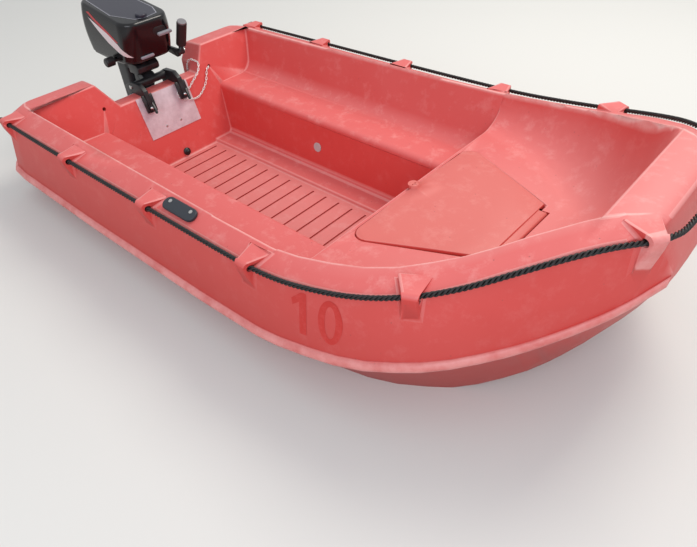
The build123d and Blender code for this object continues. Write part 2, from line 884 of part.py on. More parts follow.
# Leg: steering shaft with its two yokes, and the midsection behind it
upper_yoke_z = tube_top_z + yoke_gap
lower_yoke_z = tube_foot_z - yoke_gap - yoke_height
upper_yoke_radius = steer_tube_radius + yoke_flange
lower_cowl_foot_z = upper_yoke_z + cowl_foot_rise
leg_foot_fore_x = leg_foot_x + leg_foot_chord
with BuildPart() as leg:
    leg_sections = [
        (lower_cowl_foot_z, leg_fore_x, leg_aft_x, leg_half, leg_half - 5),
        (0, leg_fore_x - 4, leg_aft_x, leg_waist_half, leg_waist_half - 2),
        (plate_z + anti_plate_thickness, leg_foot_fore_x, leg_foot_x, leg_foot_half, leg_foot_half - 2),
    ]
    loft([rounded_section(*row) for row in leg_sections], ruled=True)
    with BuildSketch(Plane.XY.offset(lower_yoke_z)):
        with Locations((steer_x, 0)):
            Circle(steer_tube_radius)
            Rectangle(yoke_reach, 2 * steer_tube_radius, align=(Align.MAX, Align.CENTER))
    extrude(amount=yoke_height)
    with BuildSketch(Plane.XY.offset(upper_yoke_z)):
        with Locations((steer_x, 0)):
            Circle(upper_yoke_radius)
            Rectangle(yoke_reach, 2 * upper_yoke_radius, align=(Align.MAX, Align.CENTER))
    extrude(amount=lower_cowl_foot_z - upper_yoke_z)
    with BuildSketch(Plane.XY.offset(lower_yoke_z)):
        with Locations((steer_x, 0)):
            Circle(steer_shaft_radius)
    extrude(amount=upper_yoke_z - lower_yoke_z)
leg.part.label = "leg"
export_step(leg.part, "parts/leg.step")

# Gearcase: plate over the propeller, strut, torpedo and skeg
gearcase_nose_x = steer_x + gearcase_ahead
gearcase_aft_x = leg_foot_x - gearcase_tail
plate_nose_x = steer_x + anti_plate_ahead
plate_shoulder_x = plate_nose_x - anti_plate_nose
plate_shoulder_half = 0.55 * anti_plate_half
plate_aft_x = gearcase_aft_x - anti_plate_tail
skeg_foot_z = prop_z - skeg_drop
skeg_aft_x = gearcase_aft_x + gearcase_taper - prop_hub_radius - 11
with BuildPart() as gearcase:
    with BuildSketch(Plane.XY.offset(plate_z)):
        with BuildLine():
            Polyline(
                (plate_shoulder_x, plate_shoulder_half),
                (leg_aft_x, anti_plate_half),
                (plate_aft_x + anti_plate_corner, anti_plate_half),
                (plate_aft_x, anti_plate_half - anti_plate_corner),
                (plate_aft_x, -anti_plate_half + anti_plate_corner),
                (plate_aft_x + anti_plate_corner, -anti_plate_half),
                (leg_aft_x, -anti_plate_half),
                (plate_shoulder_x, -plate_shoulder_half),
            )
            ThreePointArc(
                (plate_shoulder_x, -plate_shoulder_half),
                (plate_nose_x, 0),
                (plate_shoulder_x, plate_shoulder_half),
            )
        make_face()
    extrude(amount=anti_plate_thickness)
    strut_fore_x = gearcase_nose_x - strut_nose
    strut_aft_x = leg_foot_x - strut_foot_setback
    strut_sections = [
        (prop_z, strut_fore_x, strut_aft_x, strut_foot_half, strut_foot_half - 1),
        (plate_z, leg_foot_fore_x, leg_foot_x, leg_foot_half, leg_foot_half - 2),
    ]
    loft([rounded_section(*row) for row in strut_sections], ruled=True)
    with BuildSketch(side_plane(0)):
        with BuildLine():
            nose = ThreePointArc(
                (gearcase_nose_x, prop_z),
                (gearcase_nose_x - 0.26 * gearcase_nose, prop_z + 0.62 * gearcase_radius),
                (gearcase_nose_x - gearcase_nose, prop_z + gearcase_radius),
            )
            barrel = Line(nose @ 1, (gearcase_aft_x + gearcase_taper, prop_z + gearcase_radius))
            Polyline(
                barrel @ 1,
                (gearcase_aft_x, prop_z + prop_hub_radius),
                (gearcase_aft_x, prop_z),
                nose @ 0,
            )
        make_face()
    revolve(axis=Axis((0, 0, prop_z), (1, 0, 0)))
    with BuildSketch(side_plane(0)):
        Polygon(
            (gearcase_nose_x - gearcase_nose, prop_z - 10),
            (gearcase_nose_x - gearcase_nose - 33, prop_z - gearcase_radius - 8),
            (gearcase_nose_x - gearcase_nose - skeg_rake, skeg_foot_z),
            (gearcase_nose_x - gearcase_nose - skeg_rake - skeg_foot, skeg_foot_z),
            (skeg_aft_x, prop_z - gearcase_radius),
            (skeg_aft_x, prop_z - 10),
            align=None,
        )
    extrude(amount=skeg_thickness / 2, both=True)
    with BuildSketch(Plane(origin=(gearcase_aft_x, 0, prop_z), z_dir=(1, 0, 0))):
        Circle(prop_shaft_radius + running_gap)
    extrude(amount=prop_shaft_seat, mode=Mode.SUBTRACT)
gearcase.part.label = "gearcase"
export_step(gearcase.part, "parts/gearcase.step")

# Propeller on its shaft
hub_fore_x = gearcase_aft_x - prop_gap
blade_x = hub_fore_x - prop_hub_length / 2
with BuildPart() as propeller:
    for index in range(blade_count):
        turn = radians(90 + index * 360 / blade_count)
        out = Vector(0, cos(turn), sin(turn))
        round_hub = Vector(0, -sin(turn), cos(turn))
        for r, chord, camber, pitch in BLADE_TABLE:
            along = round_hub * cos(radians(pitch)) + Vector(1, 0, 0) * sin(radians(pitch))
            place = Vector(blade_x, 0, prop_z) + out * r
            with BuildSketch(Plane(origin=place, x_dir=along, z_dir=out)):
                with BuildLine():
                    ThreePointArc((-chord / 2, 0), (0, camber), (chord / 2, 0))
                    ThreePointArc((chord / 2, 0), (0, -camber / 2), (-chord / 2, 0))
                make_face()
        loft()
    with BuildSketch(Plane(origin=(hub_fore_x, 0, prop_z), z_dir=(-1, 0, 0))):
        Circle(prop_hub_radius)
    extrude(amount=prop_hub_length)
    with BuildSketch(Plane(origin=(gearcase_aft_x + prop_shaft_seat - 2, 0, prop_z), z_dir=(-1, 0, 0))):
        Circle(prop_shaft_radius)
    extrude(amount=prop_shaft_seat - 2 + prop_gap)
propeller.part.label = "propeller"
export_step(propeller.part, "parts/propeller.step")

with BuildPart() as propeller_nut:
    nut_x = hub_fore_x - prop_hub_length
    with BuildSketch(Plane(origin=(nut_x, 0, prop_z), z_dir=(-1, 0, 0))):
        RegularPolygon(nut_radius, 6)
    extrude(amount=nut_height)
    with BuildSketch(Plane(origin=(nut_x, 0, prop_z), z_dir=(-1, 0, 0))):
        Circle(shaft_end_radius)
    extrude(amount=shaft_end)
propeller_nut.part.label = "propeller_nut"
export_step(propeller_nut.part, "parts/propeller_nut.step")



def cowl_rows(table, foot_z, inset=0):
    """Sections of a cowl, from a table of reaches about the steering axis."""
    return [
        (foot_z + rise, steer_x + ahead - inset, steer_x - behind + inset, half - inset, radius - inset)
        for rise, ahead, behind, half, radius in table
    ]


# Lower cowl, with the tiller's bracket and the shift lever's boss
cowl_seam_z = lower_cowl_foot_z + lower_cowl_height
tiller_x = steer_x + tiller_ahead
tiller_z = cowl_seam_z - tiller_drop
knob_x = steer_x + knob_ahead
knob_z = cowl_seam_z - knob_drop
with BuildPart() as lower_cowl:
    rows = cowl_rows(LOWER_COWL_TABLE, lower_cowl_foot_z)
    loft([rounded_section(*row) for row in rows], ruled=True)
    with BuildSketch(side_plane(tiller_bracket_y)):
        with Locations((tiller_x, tiller_z)):
            Circle(tiller_drop)
        Polygon(
            (tiller_x - tiller_bracket_run, cowl_seam_z),
            (tiller_x, cowl_seam_z),
            (tiller_x, tiller_z - tiller_drop),
            (tiller_x - 0.73 * tiller_bracket_run, tiller_z - 0.22 * tiller_drop),
            align=None,
        )
    extrude(amount=-tiller_bracket_width)
    with BuildSketch(side_plane(knob_y)):
        with Locations((knob_x, knob_z)):
            Circle(knob_stem_radius)
    extrude(amount=-(abs(knob_y) - 60))
lower_cowl.part.label = "lower_cowl"
export_step(lower_cowl.part, "parts/lower_cowl.step")

# Engine, one plain block inside the cowl
with BuildPart() as engine_block:
    with BuildSketch(Plane.XY.offset(cowl_seam_z)):
        with Locations((steer_x + (engine_ahead - engine_behind) / 2, 0)):
            RectangleRounded(engine_ahead + engine_behind, 2 * engine_half, engine_corner)
    extrude(amount=engine_height)
engine_block.part.label = "engine_block"
export_step(engine_block.part, "parts/engine_block.step")


cowl_top_z = cowl_seam_z + cowl_top_rise
cowl_top_x = steer_x + COWL_TABLE[2][1]
top_tilt = radians(cowl_top_slope)
top_normal = (sin(top_tilt), 0, cos(top_tilt))


def cowl_form(inset):
    """Solid form of the top cowl, drawn in by an inset."""
    with BuildPart() as form:
        rows = cowl_rows(COWL_TABLE, cowl_seam_z, inset)
        loft([rounded_section(*row) for row in rows])
        split(
            bisect_by=Plane(origin=(cowl_top_x, 0, cowl_top_z - inset), z_dir=top_normal),
            keep=Keep.BOTTOM,
        )
        top = form.faces().sort_by(Axis.Z)[-1]
        fillet(top.edges(), cowl_top_radius - inset)
    return form.part


outer_cowl = cowl_form(0)
inner_cowl = cowl_form(cowl_wall)

# Top cowl, a thin shell with a sloped flat top
with BuildPart() as top_cowl:
    add(outer_cowl)
    add(inner_cowl, mode=Mode.SUBTRACT)
top_cowl.part.label = "top_cowl"
export_step(top_cowl.part, "parts/top_cowl.step")

cap_x = steer_x + cap_ahead
cap_z = cowl_top_z + (cowl_top_x - cap_x) * tan(top_tilt)
with BuildPart() as cowl_cap:
    with BuildSketch(Plane(origin=(cap_x, 0, cap_z), z_dir=top_normal)):
        Circle(cap_radius)
    extrude(amount=cap_height)
    fillet(cowl_cap.edges().sort_by(Axis.Z)[-1], cap_edge_radius)
cowl_cap.part.label = "cowl_cap"
export_step(cowl_cap.part, "parts/cowl_cap.step")

# Shift lever's knob on the starboard side
with BuildPart() as shift_knob:
    with BuildSketch(side_plane(knob_y)):
        with Locations((knob_x, knob_z)):
            Circle(knob_stem_radius)
    extrude(amount=knob_stem)
    with BuildSketch(side_plane(knob_y - knob_stem)):
        with Locations((knob_x, knob_z)):
            Circle(knob_radius)
    extrude(amount=knob_length)
    fillet(shift_knob.edges().sort_by(Axis.Y)[0], knob_edge_radius)
shift_knob.part.label = "shift_knob"
export_step(shift_knob.part, "parts/shift_knob.step")

# Tiller, folded up beside the cowl
knuckle_y = tiller_bracket_y + tiller_bracket_width + tiller_gap
tiller_up = Vector(sin(radians(tiller_lean)), 0, cos(radians(tiller_lean)))
with BuildPart() as tiller_arm:
    with BuildSketch(side_plane(knuckle_y)):
        with Locations((tiller_x, tiller_z)):
            Circle(tiller_knuckle_radius)
    extrude(amount=-tiller_knuckle)
    with BuildSketch(
        Plane(origin=(tiller_x, knuckle_y + tiller_knuckle / 2, tiller_z), z_dir=tiller_up)
    ):
        Circle(tiller_arm_radius)
    extrude(amount=grip_start)
    with BuildSketch(side_plane(0)):
        with Locations((tiller_x, tiller_z)):
            Circle(tiller_pin_radius + running_gap)
    extrude(amount=-knuckle_y - tiller_knuckle - tiller_gap, mode=Mode.SUBTRACT)
tiller_arm.part.label = "tiller_arm"
export_step(tiller_arm.part, "parts/tiller_arm.step")

with BuildPart() as tiller_pin:
    with BuildSketch(side_plane(tiller_bracket_y + tiller_bracket_width)):
        with Locations((tiller_x, tiller_z)):
            Circle(tiller_pin_radius)
    extrude(amount=-tiller_knuckle - 2 * tiller_gap)
    with BuildSketch(side_plane(knuckle_y + tiller_knuckle + tiller_gap)):
        with Locations((tiller_x, tiller_z)):
            Circle(tiller_pin_radius + tiller_pin_head)
    extrude(amount=-tiller_pin_head)
tiller_pin.part.label = "tiller_pin"
export_step(tiller_pin.part, "parts/tiller_pin.step")

grip_base = Vector(tiller_x, knuckle_y + tiller_knuckle / 2, tiller_z) + tiller_up * grip_start
with BuildPart() as tiller_grip:
    with BuildSketch(Plane(origin=grip_base, z_dir=tiller_up)):
        Circle(grip_radius)
    extrude(amount=grip_length)
    chamfer(tiller_grip.edges().sort_by(Axis.Z)[0], 4)
tiller_grip.part.label = "tiller_grip"
export_step(tiller_grip.part, "parts/tiller_grip.step")

with BuildPart() as tiller_cap:
    with BuildSketch(Plane(origin=grip_base + tiller_up * grip_length, z_dir=tiller_up)):
        Circle(grip_radius - 2)
    extrude(amount=grip_cap)
    fillet(tiller_cap.edges().sort_by(Axis.Z)[-1], 3)
tiller_cap.part.label = "tiller_cap"
export_step(tiller_cap.part, "parts/tiller_cap.step")
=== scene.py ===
import json
from math import ceil, cos, pi, radians, sin

import bmesh
import bpy
from mathutils import Matrix, Vector
from mathutils.bvhtree import BVHTree


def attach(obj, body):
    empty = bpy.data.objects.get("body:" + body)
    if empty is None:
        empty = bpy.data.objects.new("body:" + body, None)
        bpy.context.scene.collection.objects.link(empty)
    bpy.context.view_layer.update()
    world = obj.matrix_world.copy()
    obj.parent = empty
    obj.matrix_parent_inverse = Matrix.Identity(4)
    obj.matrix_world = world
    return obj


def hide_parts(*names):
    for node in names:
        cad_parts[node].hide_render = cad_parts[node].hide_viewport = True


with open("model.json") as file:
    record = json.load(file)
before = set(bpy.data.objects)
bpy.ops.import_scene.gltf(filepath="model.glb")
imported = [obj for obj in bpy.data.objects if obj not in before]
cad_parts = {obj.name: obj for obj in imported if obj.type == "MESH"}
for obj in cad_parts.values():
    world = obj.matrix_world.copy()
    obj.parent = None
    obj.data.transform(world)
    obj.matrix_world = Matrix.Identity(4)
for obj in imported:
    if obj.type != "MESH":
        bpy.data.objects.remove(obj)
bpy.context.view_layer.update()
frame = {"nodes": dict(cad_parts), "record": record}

# Camera
# It stands over the starboard bow and looks aft and down across the boat,
# with the slight lean of a picture taken by hand.
camera_place = Vector((1.350, -1.379, 1.368))
camera_heading = radians(133.2)
camera_drop = radians(41.05)
camera_lean = radians(3.2)
camera_lens = 30.9

ahead = Vector((
    cos(camera_drop) * cos(camera_heading), cos(camera_drop) * sin(camera_heading), -sin(camera_drop)
))
level_right = Vector((sin(camera_heading), -cos(camera_heading), 0))
level_down = ahead.cross(level_right)
right = level_right * cos(camera_lean) + level_down * sin(camera_lean)
up = level_right * sin(camera_lean) - level_down * cos(camera_lean)
camera_data = bpy.data.cameras.new("camera")
camera_data.lens = camera_lens
camera = bpy.data.objects.new("camera", camera_data)
camera.matrix_world = Matrix.Translation(camera_place) @ Matrix((right, up, -ahead)).transposed().to_4x4()
bpy.context.collection.objects.link(camera)
bpy.context.scene.camera = camera


# Hull moulding
# The real hull is one rotomoulded shell of red polyethylene: thick walls,
# soft rounded edges, a faint orange peel, and colour that is paler on what
# faces up and deeper on the sheltered inner walls, partly from sun-fading and
# partly as painted light and shade.
edge_round = 0.007
edge_angle = radians(24)
weld_reach = 0.00005
flat_angle = radians(0.6)
hull_deep = "#cb3a36"
hull_red = "#d44b47"
hull_faded_and_lit = "#db6866"
hull_chalk_and_highlight = "#edaaa6"
grime_and_shade_dark = "#8d4743"
topside_shade_red = "#ad2d26"
sole_chalk = "#d48f8b"
groove_dark = "#9c2f2a"
crest_highlight_colour = "#f6c3bd"
# Sizes of the marks in the plastic.
cloud_mm = 312.5
wave_mm = 111.1
patch_mm = 71.43
scuff_mm = 60.0
speck_mm = 38.46
orange_peel_mm = 5.0
# How far each kind of wear, painted shade and painted highlight takes the colour towards its own.
scuff_wear = 0.55
speck_wear = 0.55
edge_highlight_strength = 0.42
sole_wear = 0.45
groove_darkening = 0.7
topside_shade = 0.62
underside_shade = 0.55
foredeck_wear = 0.22
strake_wear = 0.62
crest_highlight_strength = 0.6
# Where each starts and where it is full. A facing is the upward part of the
# surface's direction. The rest are metres: above the water, along the hull, or
# out from the boat's middle and from the lines below.
sun_facing = (-0.15, 0.85)
under_facing = (-0.15, -0.5)
sole_height = (-0.058, -0.07)
groove_height = (-0.0745, -0.0775)
topside_height = (0.42, 0.16)
topside_reach = (0.2, 0.45)
foredeck_run = (0.3, 0.8)
inboard_band = (0.04, 0.0)
strake_band = (-0.0175, -0.012)
crest_band = (0.0055, 0.0015)
crest_height = (0.3, 0.31)
crest_end = (1.13, 1.11)
# Along the hull in mm: x, then half widths at the rub strake and at the rim's crest.
CREST_LINES = [
    (-1205, 646, 522), (-1190, 676, 546), (-1150, 698, 563), (-1060, 706, 571), (-540, 709, 580),
    (80, 710, 590), (353, 710, 593), (430, 706, 585), (530, 695, 566), (620, 682, 543),
    (700, 660, 512), (770, 629, 472), (830, 597, 433), (885, 556, 388), (935, 509, 341),
    (980, 465, 302), (1020, 421, 270), (1046, 391, 250), (1080, 350, 222), (1112, 312, 194),
    (1137, 280, 171), (1160, 246, 152), (1182, 208, 136), (1203, 170, 120),
]
# The slab of the hull that holds the sole and its grooves.
sole_slab = (-0.082, -0.055)
sole_half = 0.28


def linear(hex_code):
    """Linear colour of an sRGB hex code."""
    values = [int(hex_code[i:i + 2], 16) / 255 for i in (1, 3, 5)]
    return [v / 12.92 if v <= 0.04045 else ((v + 0.055) / 1.055) ** 2.4 for v in values] + [1.0]


def add(tree, kind, settings=(), links=()):
    """Adds one shader node with its settings and its links from earlier nodes."""
    made = tree.nodes.new("ShaderNode" + kind)
    for key, value in dict(settings).items():
        if key == "stops":
            ramp = made.color_ramp
            while len(ramp.elements) < len(value):
                ramp.elements.new(0.5)
            for stop, (position, colour) in zip(ramp.elements, value):
                stop.position = position
                stop.color = linear(colour)
        elif key == "curve":
            line = made.mapping.curves[0]
            while len(line.points) < len(value):
                line.points.new(0.5, 0.5)
            for point, location in zip(line.points, value):
                point.location = location
                point.handle_type = "VECTOR"
            made.mapping.update()
        elif key == "span":
            made.inputs["From Min"].default_value = value[0]
            made.inputs["From Max"].default_value = value[1]
        elif isinstance(key, str) and hasattr(made, key):
            setattr(made, key, value)
        else:
            made.inputs[key].default_value = value
    for key, source in dict(links).items():
        tree.links.new(source, made.inputs[key])
    return made


def new_material(name, roughness, metallic=0.0, colour="#808080"):
    """Starts a material, and gives it with its tree, its shader and its coordinates."""
    made = bpy.data.materials.new(name)
    made.use_nodes = True
    tree = made.node_tree
    shader = tree.nodes["Principled BSDF"]
    shader.inputs["Base Color"].default_value = linear(colour)
    shader.inputs["Roughness"].default_value = roughness
    shader.inputs["Metallic"].default_value = metallic
    return made, tree, shader, add(tree, "TexCoord").outputs


def worn_and_lit_plastic(name, deep, red, faded_and_lit, chalk_and_highlight):
    """Red polyethylene, paler where it faces up from sun-fading and painted light, with scuffs, specks
    and a painted highlight on its rounded edges.
    """
    made, tree, shader, coordinates = new_material(name, roughness=0.45)
    place = coordinates["Object"]
    facing = add(tree, "SeparateXYZ", links={0: coordinates["Normal"]}).outputs["Z"]
    # Paler where it faces up, deeper where it faces sideways or down: partly sun-fading, partly painted
    # light and shade.
    sun = add(tree, "MapRange", {"span": sun_facing}, {"Value": facing}).outputs[0]
    cloud = add(
        tree, "TexNoise", {"Scale": 1000 / cloud_mm, "Detail": 5.0, "Roughness": 0.6}, {"Vector": place}
    ).outputs[0]
    fade_and_light = add(tree, "Math", {"operation": "MULTIPLY_ADD", 1: 0.5, 2: -0.25}, {0: cloud}).outputs[0]
    fade_and_light = add(tree, "Math", {"operation": "ADD", "use_clamp": True}, {0: sun, 1: fade_and_light}).outputs[0]
    reds = [(0.0, deep), (0.35, red), (1.0, faded_and_lit)]
    ground = add(tree, "ValToRGB", {"stops": reds}, {0: fade_and_light}).outputs[0]
    scuff = add(
        tree, "TexNoise", {"Scale": 1000 / scuff_mm, "Detail": 8.0, "Roughness": 0.72}, {"Vector": place}
    ).outputs[0]
    scuff = add(
        tree, "MapRange", {"span": (0.52, 0.78), "To Max": scuff_wear}, {"Value": scuff}
    ).outputs[0]
    scuff = add(tree, "Math", {"operation": "MULTIPLY"}, {0: scuff, 1: sun}).outputs[0]
    worn_and_lit = add(tree, "Mix", {"data_type": "RGBA", 7: linear(chalk_and_highlight)}, {0: scuff, 6: ground}).outputs[2]
    speck = add(
        tree, "TexVoronoi", {"Scale": 1000 / speck_mm, "Randomness": 1.0}, {"Vector": place}
    ).outputs["Distance"]
    speck = add(
        tree, "MapRange", {"span": (0.06, 0.035), "To Max": speck_wear}, {"Value": speck}
    ).outputs[0]
    worn_and_lit = add(tree, "Mix", {"data_type": "RGBA", 7: linear(grime_and_shade_dark)}, {0: speck, 6: worn_and_lit}).outputs[2]
    # Painted highlight: the rounded edges turn pale, the more so where the colour is already paler.
    highlit = add(tree, "Attribute", {"attribute_name": "rubbed_edge"}).outputs["Fac"]
    highlit = add(tree, "Math", {"operation": "MULTIPLY", 1: edge_highlight_strength}, {0: highlit}).outputs[0]
    highlit = add(tree, "Math", {"operation": "MULTIPLY"}, {0: highlit, 1: fade_and_light}).outputs[0]
    worn_and_lit = add(tree, "Mix", {"data_type": "RGBA", 7: linear(chalk_and_highlight)}, {0: highlit, 6: worn_and_lit}).outputs[2]
    gloss = add(tree, "MapRange", {"To Min": 0.38, "To Max": 0.58}, {"Value": cloud}).outputs[0]
    tree.links.new(gloss, shader.inputs["Roughness"])
    peel = add(
        tree, "TexNoise", {"Scale": 1000 / orange_peel_mm, "Detail": 2.0}, {"Vector": place}
    ).outputs[0]
    peel = add(tree, "Bump", {"Strength": 0.12, "Distance": 0.0006}, {"Height": peel}).outputs[0]
    wave = add(tree, "TexNoise", {"Scale": 1000 / wave_mm, "Detail": 1.0}, {"Vector": place}).outputs[0]
    wave = add(tree, "Bump", {"Strength": 0.25, "Distance": 0.006}, {"Height": wave, "Normal": peel})
    tree.links.new(wave.outputs[0], shader.inputs["Normal"])
    return made, tree, shader, coordinates, sun, worn_and_lit


# Old polyethylene looks chalky: cloudy reds, pale scuffs on what faces up,
# dark specks, and a dull, slightly wavy sheen with a fine orange peel.
# Painted light pales what faces up, and a painted highlight lines the rounded edges.
hull_plastic, tree, shader, coordinates, sun, worn_and_lit = worn_and_lit_plastic(
    "rotomoulded_red_polyethylene", hull_deep, hull_red, hull_faded_and_lit, hull_chalk_and_highlight
)
spot = add(tree, "SeparateXYZ", links={0: coordinates["Object"]}).outputs
# The sole is rubbed paler by feet, and its grooves are darker.
on_sole = add(
    tree, "MapRange", {"span": sole_height, "To Max": sole_wear}, {"Value": spot["Z"]}
).outputs[0]
on_sole = add(tree, "Math", {"operation": "MULTIPLY"}, {0: on_sole, 1: sun}).outputs[0]
worn_and_lit = add(tree, "Mix", {"data_type": "RGBA", 7: linear(sole_chalk)}, {0: on_sole, 6: worn_and_lit}).outputs[2]
in_groove = add(
    tree, "MapRange", {"span": groove_height, "To Max": groove_darkening}, {"Value": spot["Z"]}
).outputs[0]
worn_and_lit = add(tree, "Mix", {"data_type": "RGBA", 7: linear(groove_dark)}, {0: in_groove, 6: worn_and_lit}).outputs[2]
# Painted shade darkens the topside towards the rub strake, and darkens what faces down.
topside_shade_mask = add(
    tree, "VectorMath", {"operation": "DOT_PRODUCT"}, {0: coordinates["Object"], 1: coordinates["Normal"]}
).outputs["Value"]
topside_shade_mask = add(
    tree, "MapRange", {"span": topside_reach, "To Max": topside_shade}, {"Value": topside_shade_mask}
).outputs[0]
low_down = add(tree, "MapRange", {"span": topside_height}, {"Value": spot["Z"]}).outputs[0]
topside_shade_mask = add(tree, "Math", {"operation": "MULTIPLY"}, {0: topside_shade_mask, 1: low_down}).outputs[0]
worn_and_lit = add(tree, "Mix", {"data_type": "RGBA", 7: linear(topside_shade_red)}, {0: topside_shade_mask, 6: worn_and_lit}).outputs[2]
# Painted shade: what faces down turns a dull dark red.
facing = add(tree, "SeparateXYZ", links={0: coordinates["Normal"]}).outputs["Z"]
below = add(
    tree, "MapRange", {"span": under_facing, "To Max": underside_shade}, {"Value": facing}
).outputs[0]
worn_and_lit = add(tree, "Mix", {"data_type": "RGBA", 7: linear(grime_and_shade_dark)}, {0: below, 6: worn_and_lit}).outputs[2]
# Distances out from the rub strake's line and from the rim's crest.
stern, bow = CREST_LINES[0][0], CREST_LINES[-1][0]
station = add(tree, "MapRange", {"span": (stern / 1000, bow / 1000)}, {"Value": spot["X"]}).outputs[0]
off_centre = add(tree, "Math", {"operation": "ABSOLUTE"}, {0: spot["Y"]}).outputs[0]
off_line = []
for column in (1, 2):
    shape_line = [((row[0] - stern) / (bow - stern), row[column] / 1000) for row in CREST_LINES]
    half = add(tree, "FloatCurve", {"curve": shape_line}, {"Value": station}).outputs["Value"]
    off_line.append(add(tree, "Math", {"operation": "SUBTRACT"}, {0: off_centre, 1: half}).outputs[0])
off_strake, off_crest = off_line
# The foredeck is paler inside the rim.
forward = add(
    tree, "MapRange", {"span": foredeck_run, "To Max": foredeck_wear}, {"Value": spot["X"]}
).outputs[0]
forward = add(tree, "Math", {"operation": "MULTIPLY"}, {0: forward, 1: sun}).outputs[0]
inboard = add(tree, "MapRange", {"span": inboard_band}, {"Value": off_crest}).outputs[0]
forward = add(tree, "Math", {"operation": "MULTIPLY"}, {0: forward, 1: inboard}).outputs[0]
worn_and_lit = add(tree, "Mix", {"data_type": "RGBA", 7: linear(hull_chalk_and_highlight)}, {0: forward, 6: worn_and_lit}).outputs[2]
# Rubbing leaves the strake pale, and a painted highlight draws a pale line along the rim's crest.
patchy = add(
    tree, "TexNoise", {"Scale": 1000 / patch_mm, "Detail": 6.0, "Roughness": 0.65},
    {"Vector": coordinates["Object"]},
).outputs[0]
patchy = add(tree, "MapRange", {"span": (0.35, 0.6), "To Min": 0.45}, {"Value": patchy}).outputs[0]
on_strake = add(
    tree, "MapRange", {"span": strake_band, "To Max": strake_wear}, {"Value": off_strake}
).outputs[0]
on_strake = add(tree, "Math", {"operation": "MULTIPLY"}, {0: on_strake, 1: patchy}).outputs[0]
worn_and_lit = add(tree, "Mix", {"data_type": "RGBA", 7: linear(hull_chalk_and_highlight)}, {0: on_strake, 6: worn_and_lit}).outputs[2]
from_crest = add(tree, "Math", {"operation": "ABSOLUTE"}, {0: off_crest}).outputs[0]
crest_highlight_mask = add(
    tree, "MapRange", {"span": crest_band, "To Max": crest_highlight_strength}, {"Value": from_crest}
).outputs[0]
on_top = add(tree, "MapRange", {"span": crest_height}, {"Value": spot["Z"]}).outputs[0]
abaft_bow = add(tree, "MapRange", {"span": crest_end}, {"Value": spot["X"]}).outputs[0]
on_top = add(tree, "Math", {"operation": "MULTIPLY"}, {0: on_top, 1: abaft_bow}).outputs[0]
crest_highlight_mask = add(tree, "Math", {"operation": "MULTIPLY"}, {0: crest_highlight_mask, 1: on_top}).outputs[0]
crest_highlight_mask = add(tree, "Math", {"operation": "MULTIPLY"}, {0: crest_highlight_mask, 1: patchy}).outputs[0]
worn_and_lit = add(tree, "Mix", {"data_type": "RGBA", 7: linear(crest_highlight_colour)}, {0: crest_highlight_mask, 6: worn_and_lit}).outputs[2]
tree.links.new(worn_and_lit, shader.inputs["Base Color"])


def finish_mesh(shape, name, material, smooth_angle=None):
    """Makes a bmesh an object in the scene, with its material."""
    mesh = bpy.data.meshes.new(name)
    shape.to_mesh(mesh)
    shape.free()
    mesh.materials.append(material)
    if smooth_angle is not None:
        mesh.polygons.foreach_set("use_smooth", [True] * len(mesh.polygons))
        mesh.set_sharp_from_angle(angle=smooth_angle)
    made = bpy.data.objects.new(name, mesh)
    bpy.context.collection.objects.link(made)
    return made


def welded_copy(node):
    """The solid's mesh with its loose triangles joined and its flat faces whole."""
    shape = bmesh.new()
    shape.from_mesh(frame["nodes"][node].data)
    bmesh.ops.remove_doubles(shape, verts=shape.verts, dist=weld_reach)
    bmesh.ops.dissolve_limit(
        shape, angle_limit=flat_angle, verts=shape.verts, edges=shape.edges, delimit={"NORMAL"}
    )
    return shape


def round_edges(shape, angle, width, segments=3):
    """Rounds the edges that turn by more than an angle, and marks their faces for a painted highlight."""
    highlit = shape.faces.layers.float.new("rubbed_edge")
    room = 1.5 * width
    sharp = []
    for edge in shape.edges:
        if edge.is_manifold and edge.calc_face_angle(0) > angle and edge.calc_length() > room:
            depth = min(face.calc_area() for face in edge.link_faces) / edge.calc_length()
            if depth > room:
                sharp.append(edge)
    made = bmesh.ops.bevel(
        shape, geom=sharp, offset=width, affect="EDGES", segments=segments, profile=0.5,
        material=-1, clamp_overlap=False,
    )
    for face in made["faces"]:
        face[highlit] = 1.0
    bmesh.ops.triangulate(shape, faces=[face for face in shape.faces if len(face.verts) > 4])


def dress(node, material, width=0.0, angle=radians(28), smooth=radians(32)):
    """Puts a rounded copy of a solid in its place, with a finish."""
    shape = welded_copy(node)
    if width:
        round_edges(shape, angle, width)
    body = next(name for name, held in frame["record"]["behaviour"]["bodies"].items() if node in held)
    made = finish_mesh(shape, node + "_surface", material, smooth)
    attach(made, body)
    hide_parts(node)
    return made


hull_skin = dress("hull", hull_plastic, edge_round, edge_angle, radians(30))
# The sole is flat between its grooves, and so are the grooves' own sides.
for face in hull_skin.data.polygons:
    if sole_slab[0] < face.center.z < sole_slab[1] and abs(face.center.y) < sole_half:
        face.use_smooth = False
even = hull_skin.modifiers.new("even_shading", "WEIGHTED_NORMAL")
even.keep_sharp = True

# Locker lid
# A loose moulding of the same plastic. It lies in its own seat in the deck with
# a dark gap round it, and turns on pins at its fore end.
lid_round = 0.003

# Less faded than the deck: a deeper red with fainter scuffs. It takes the same painted light where it
# faces up and on its rounded edges.
lid_plastic, tree, shader, *_, worn_and_lit = worn_and_lit_plastic(
    "red_polyethylene_lid", "#bd3a33", "#cc4e47", "#d36a63", "#e09089"
)
tree.links.new(worn_and_lit, shader.inputs["Base Color"])
dress("locker_lid", lid_plastic, lid_round, radians(30), radians(30))

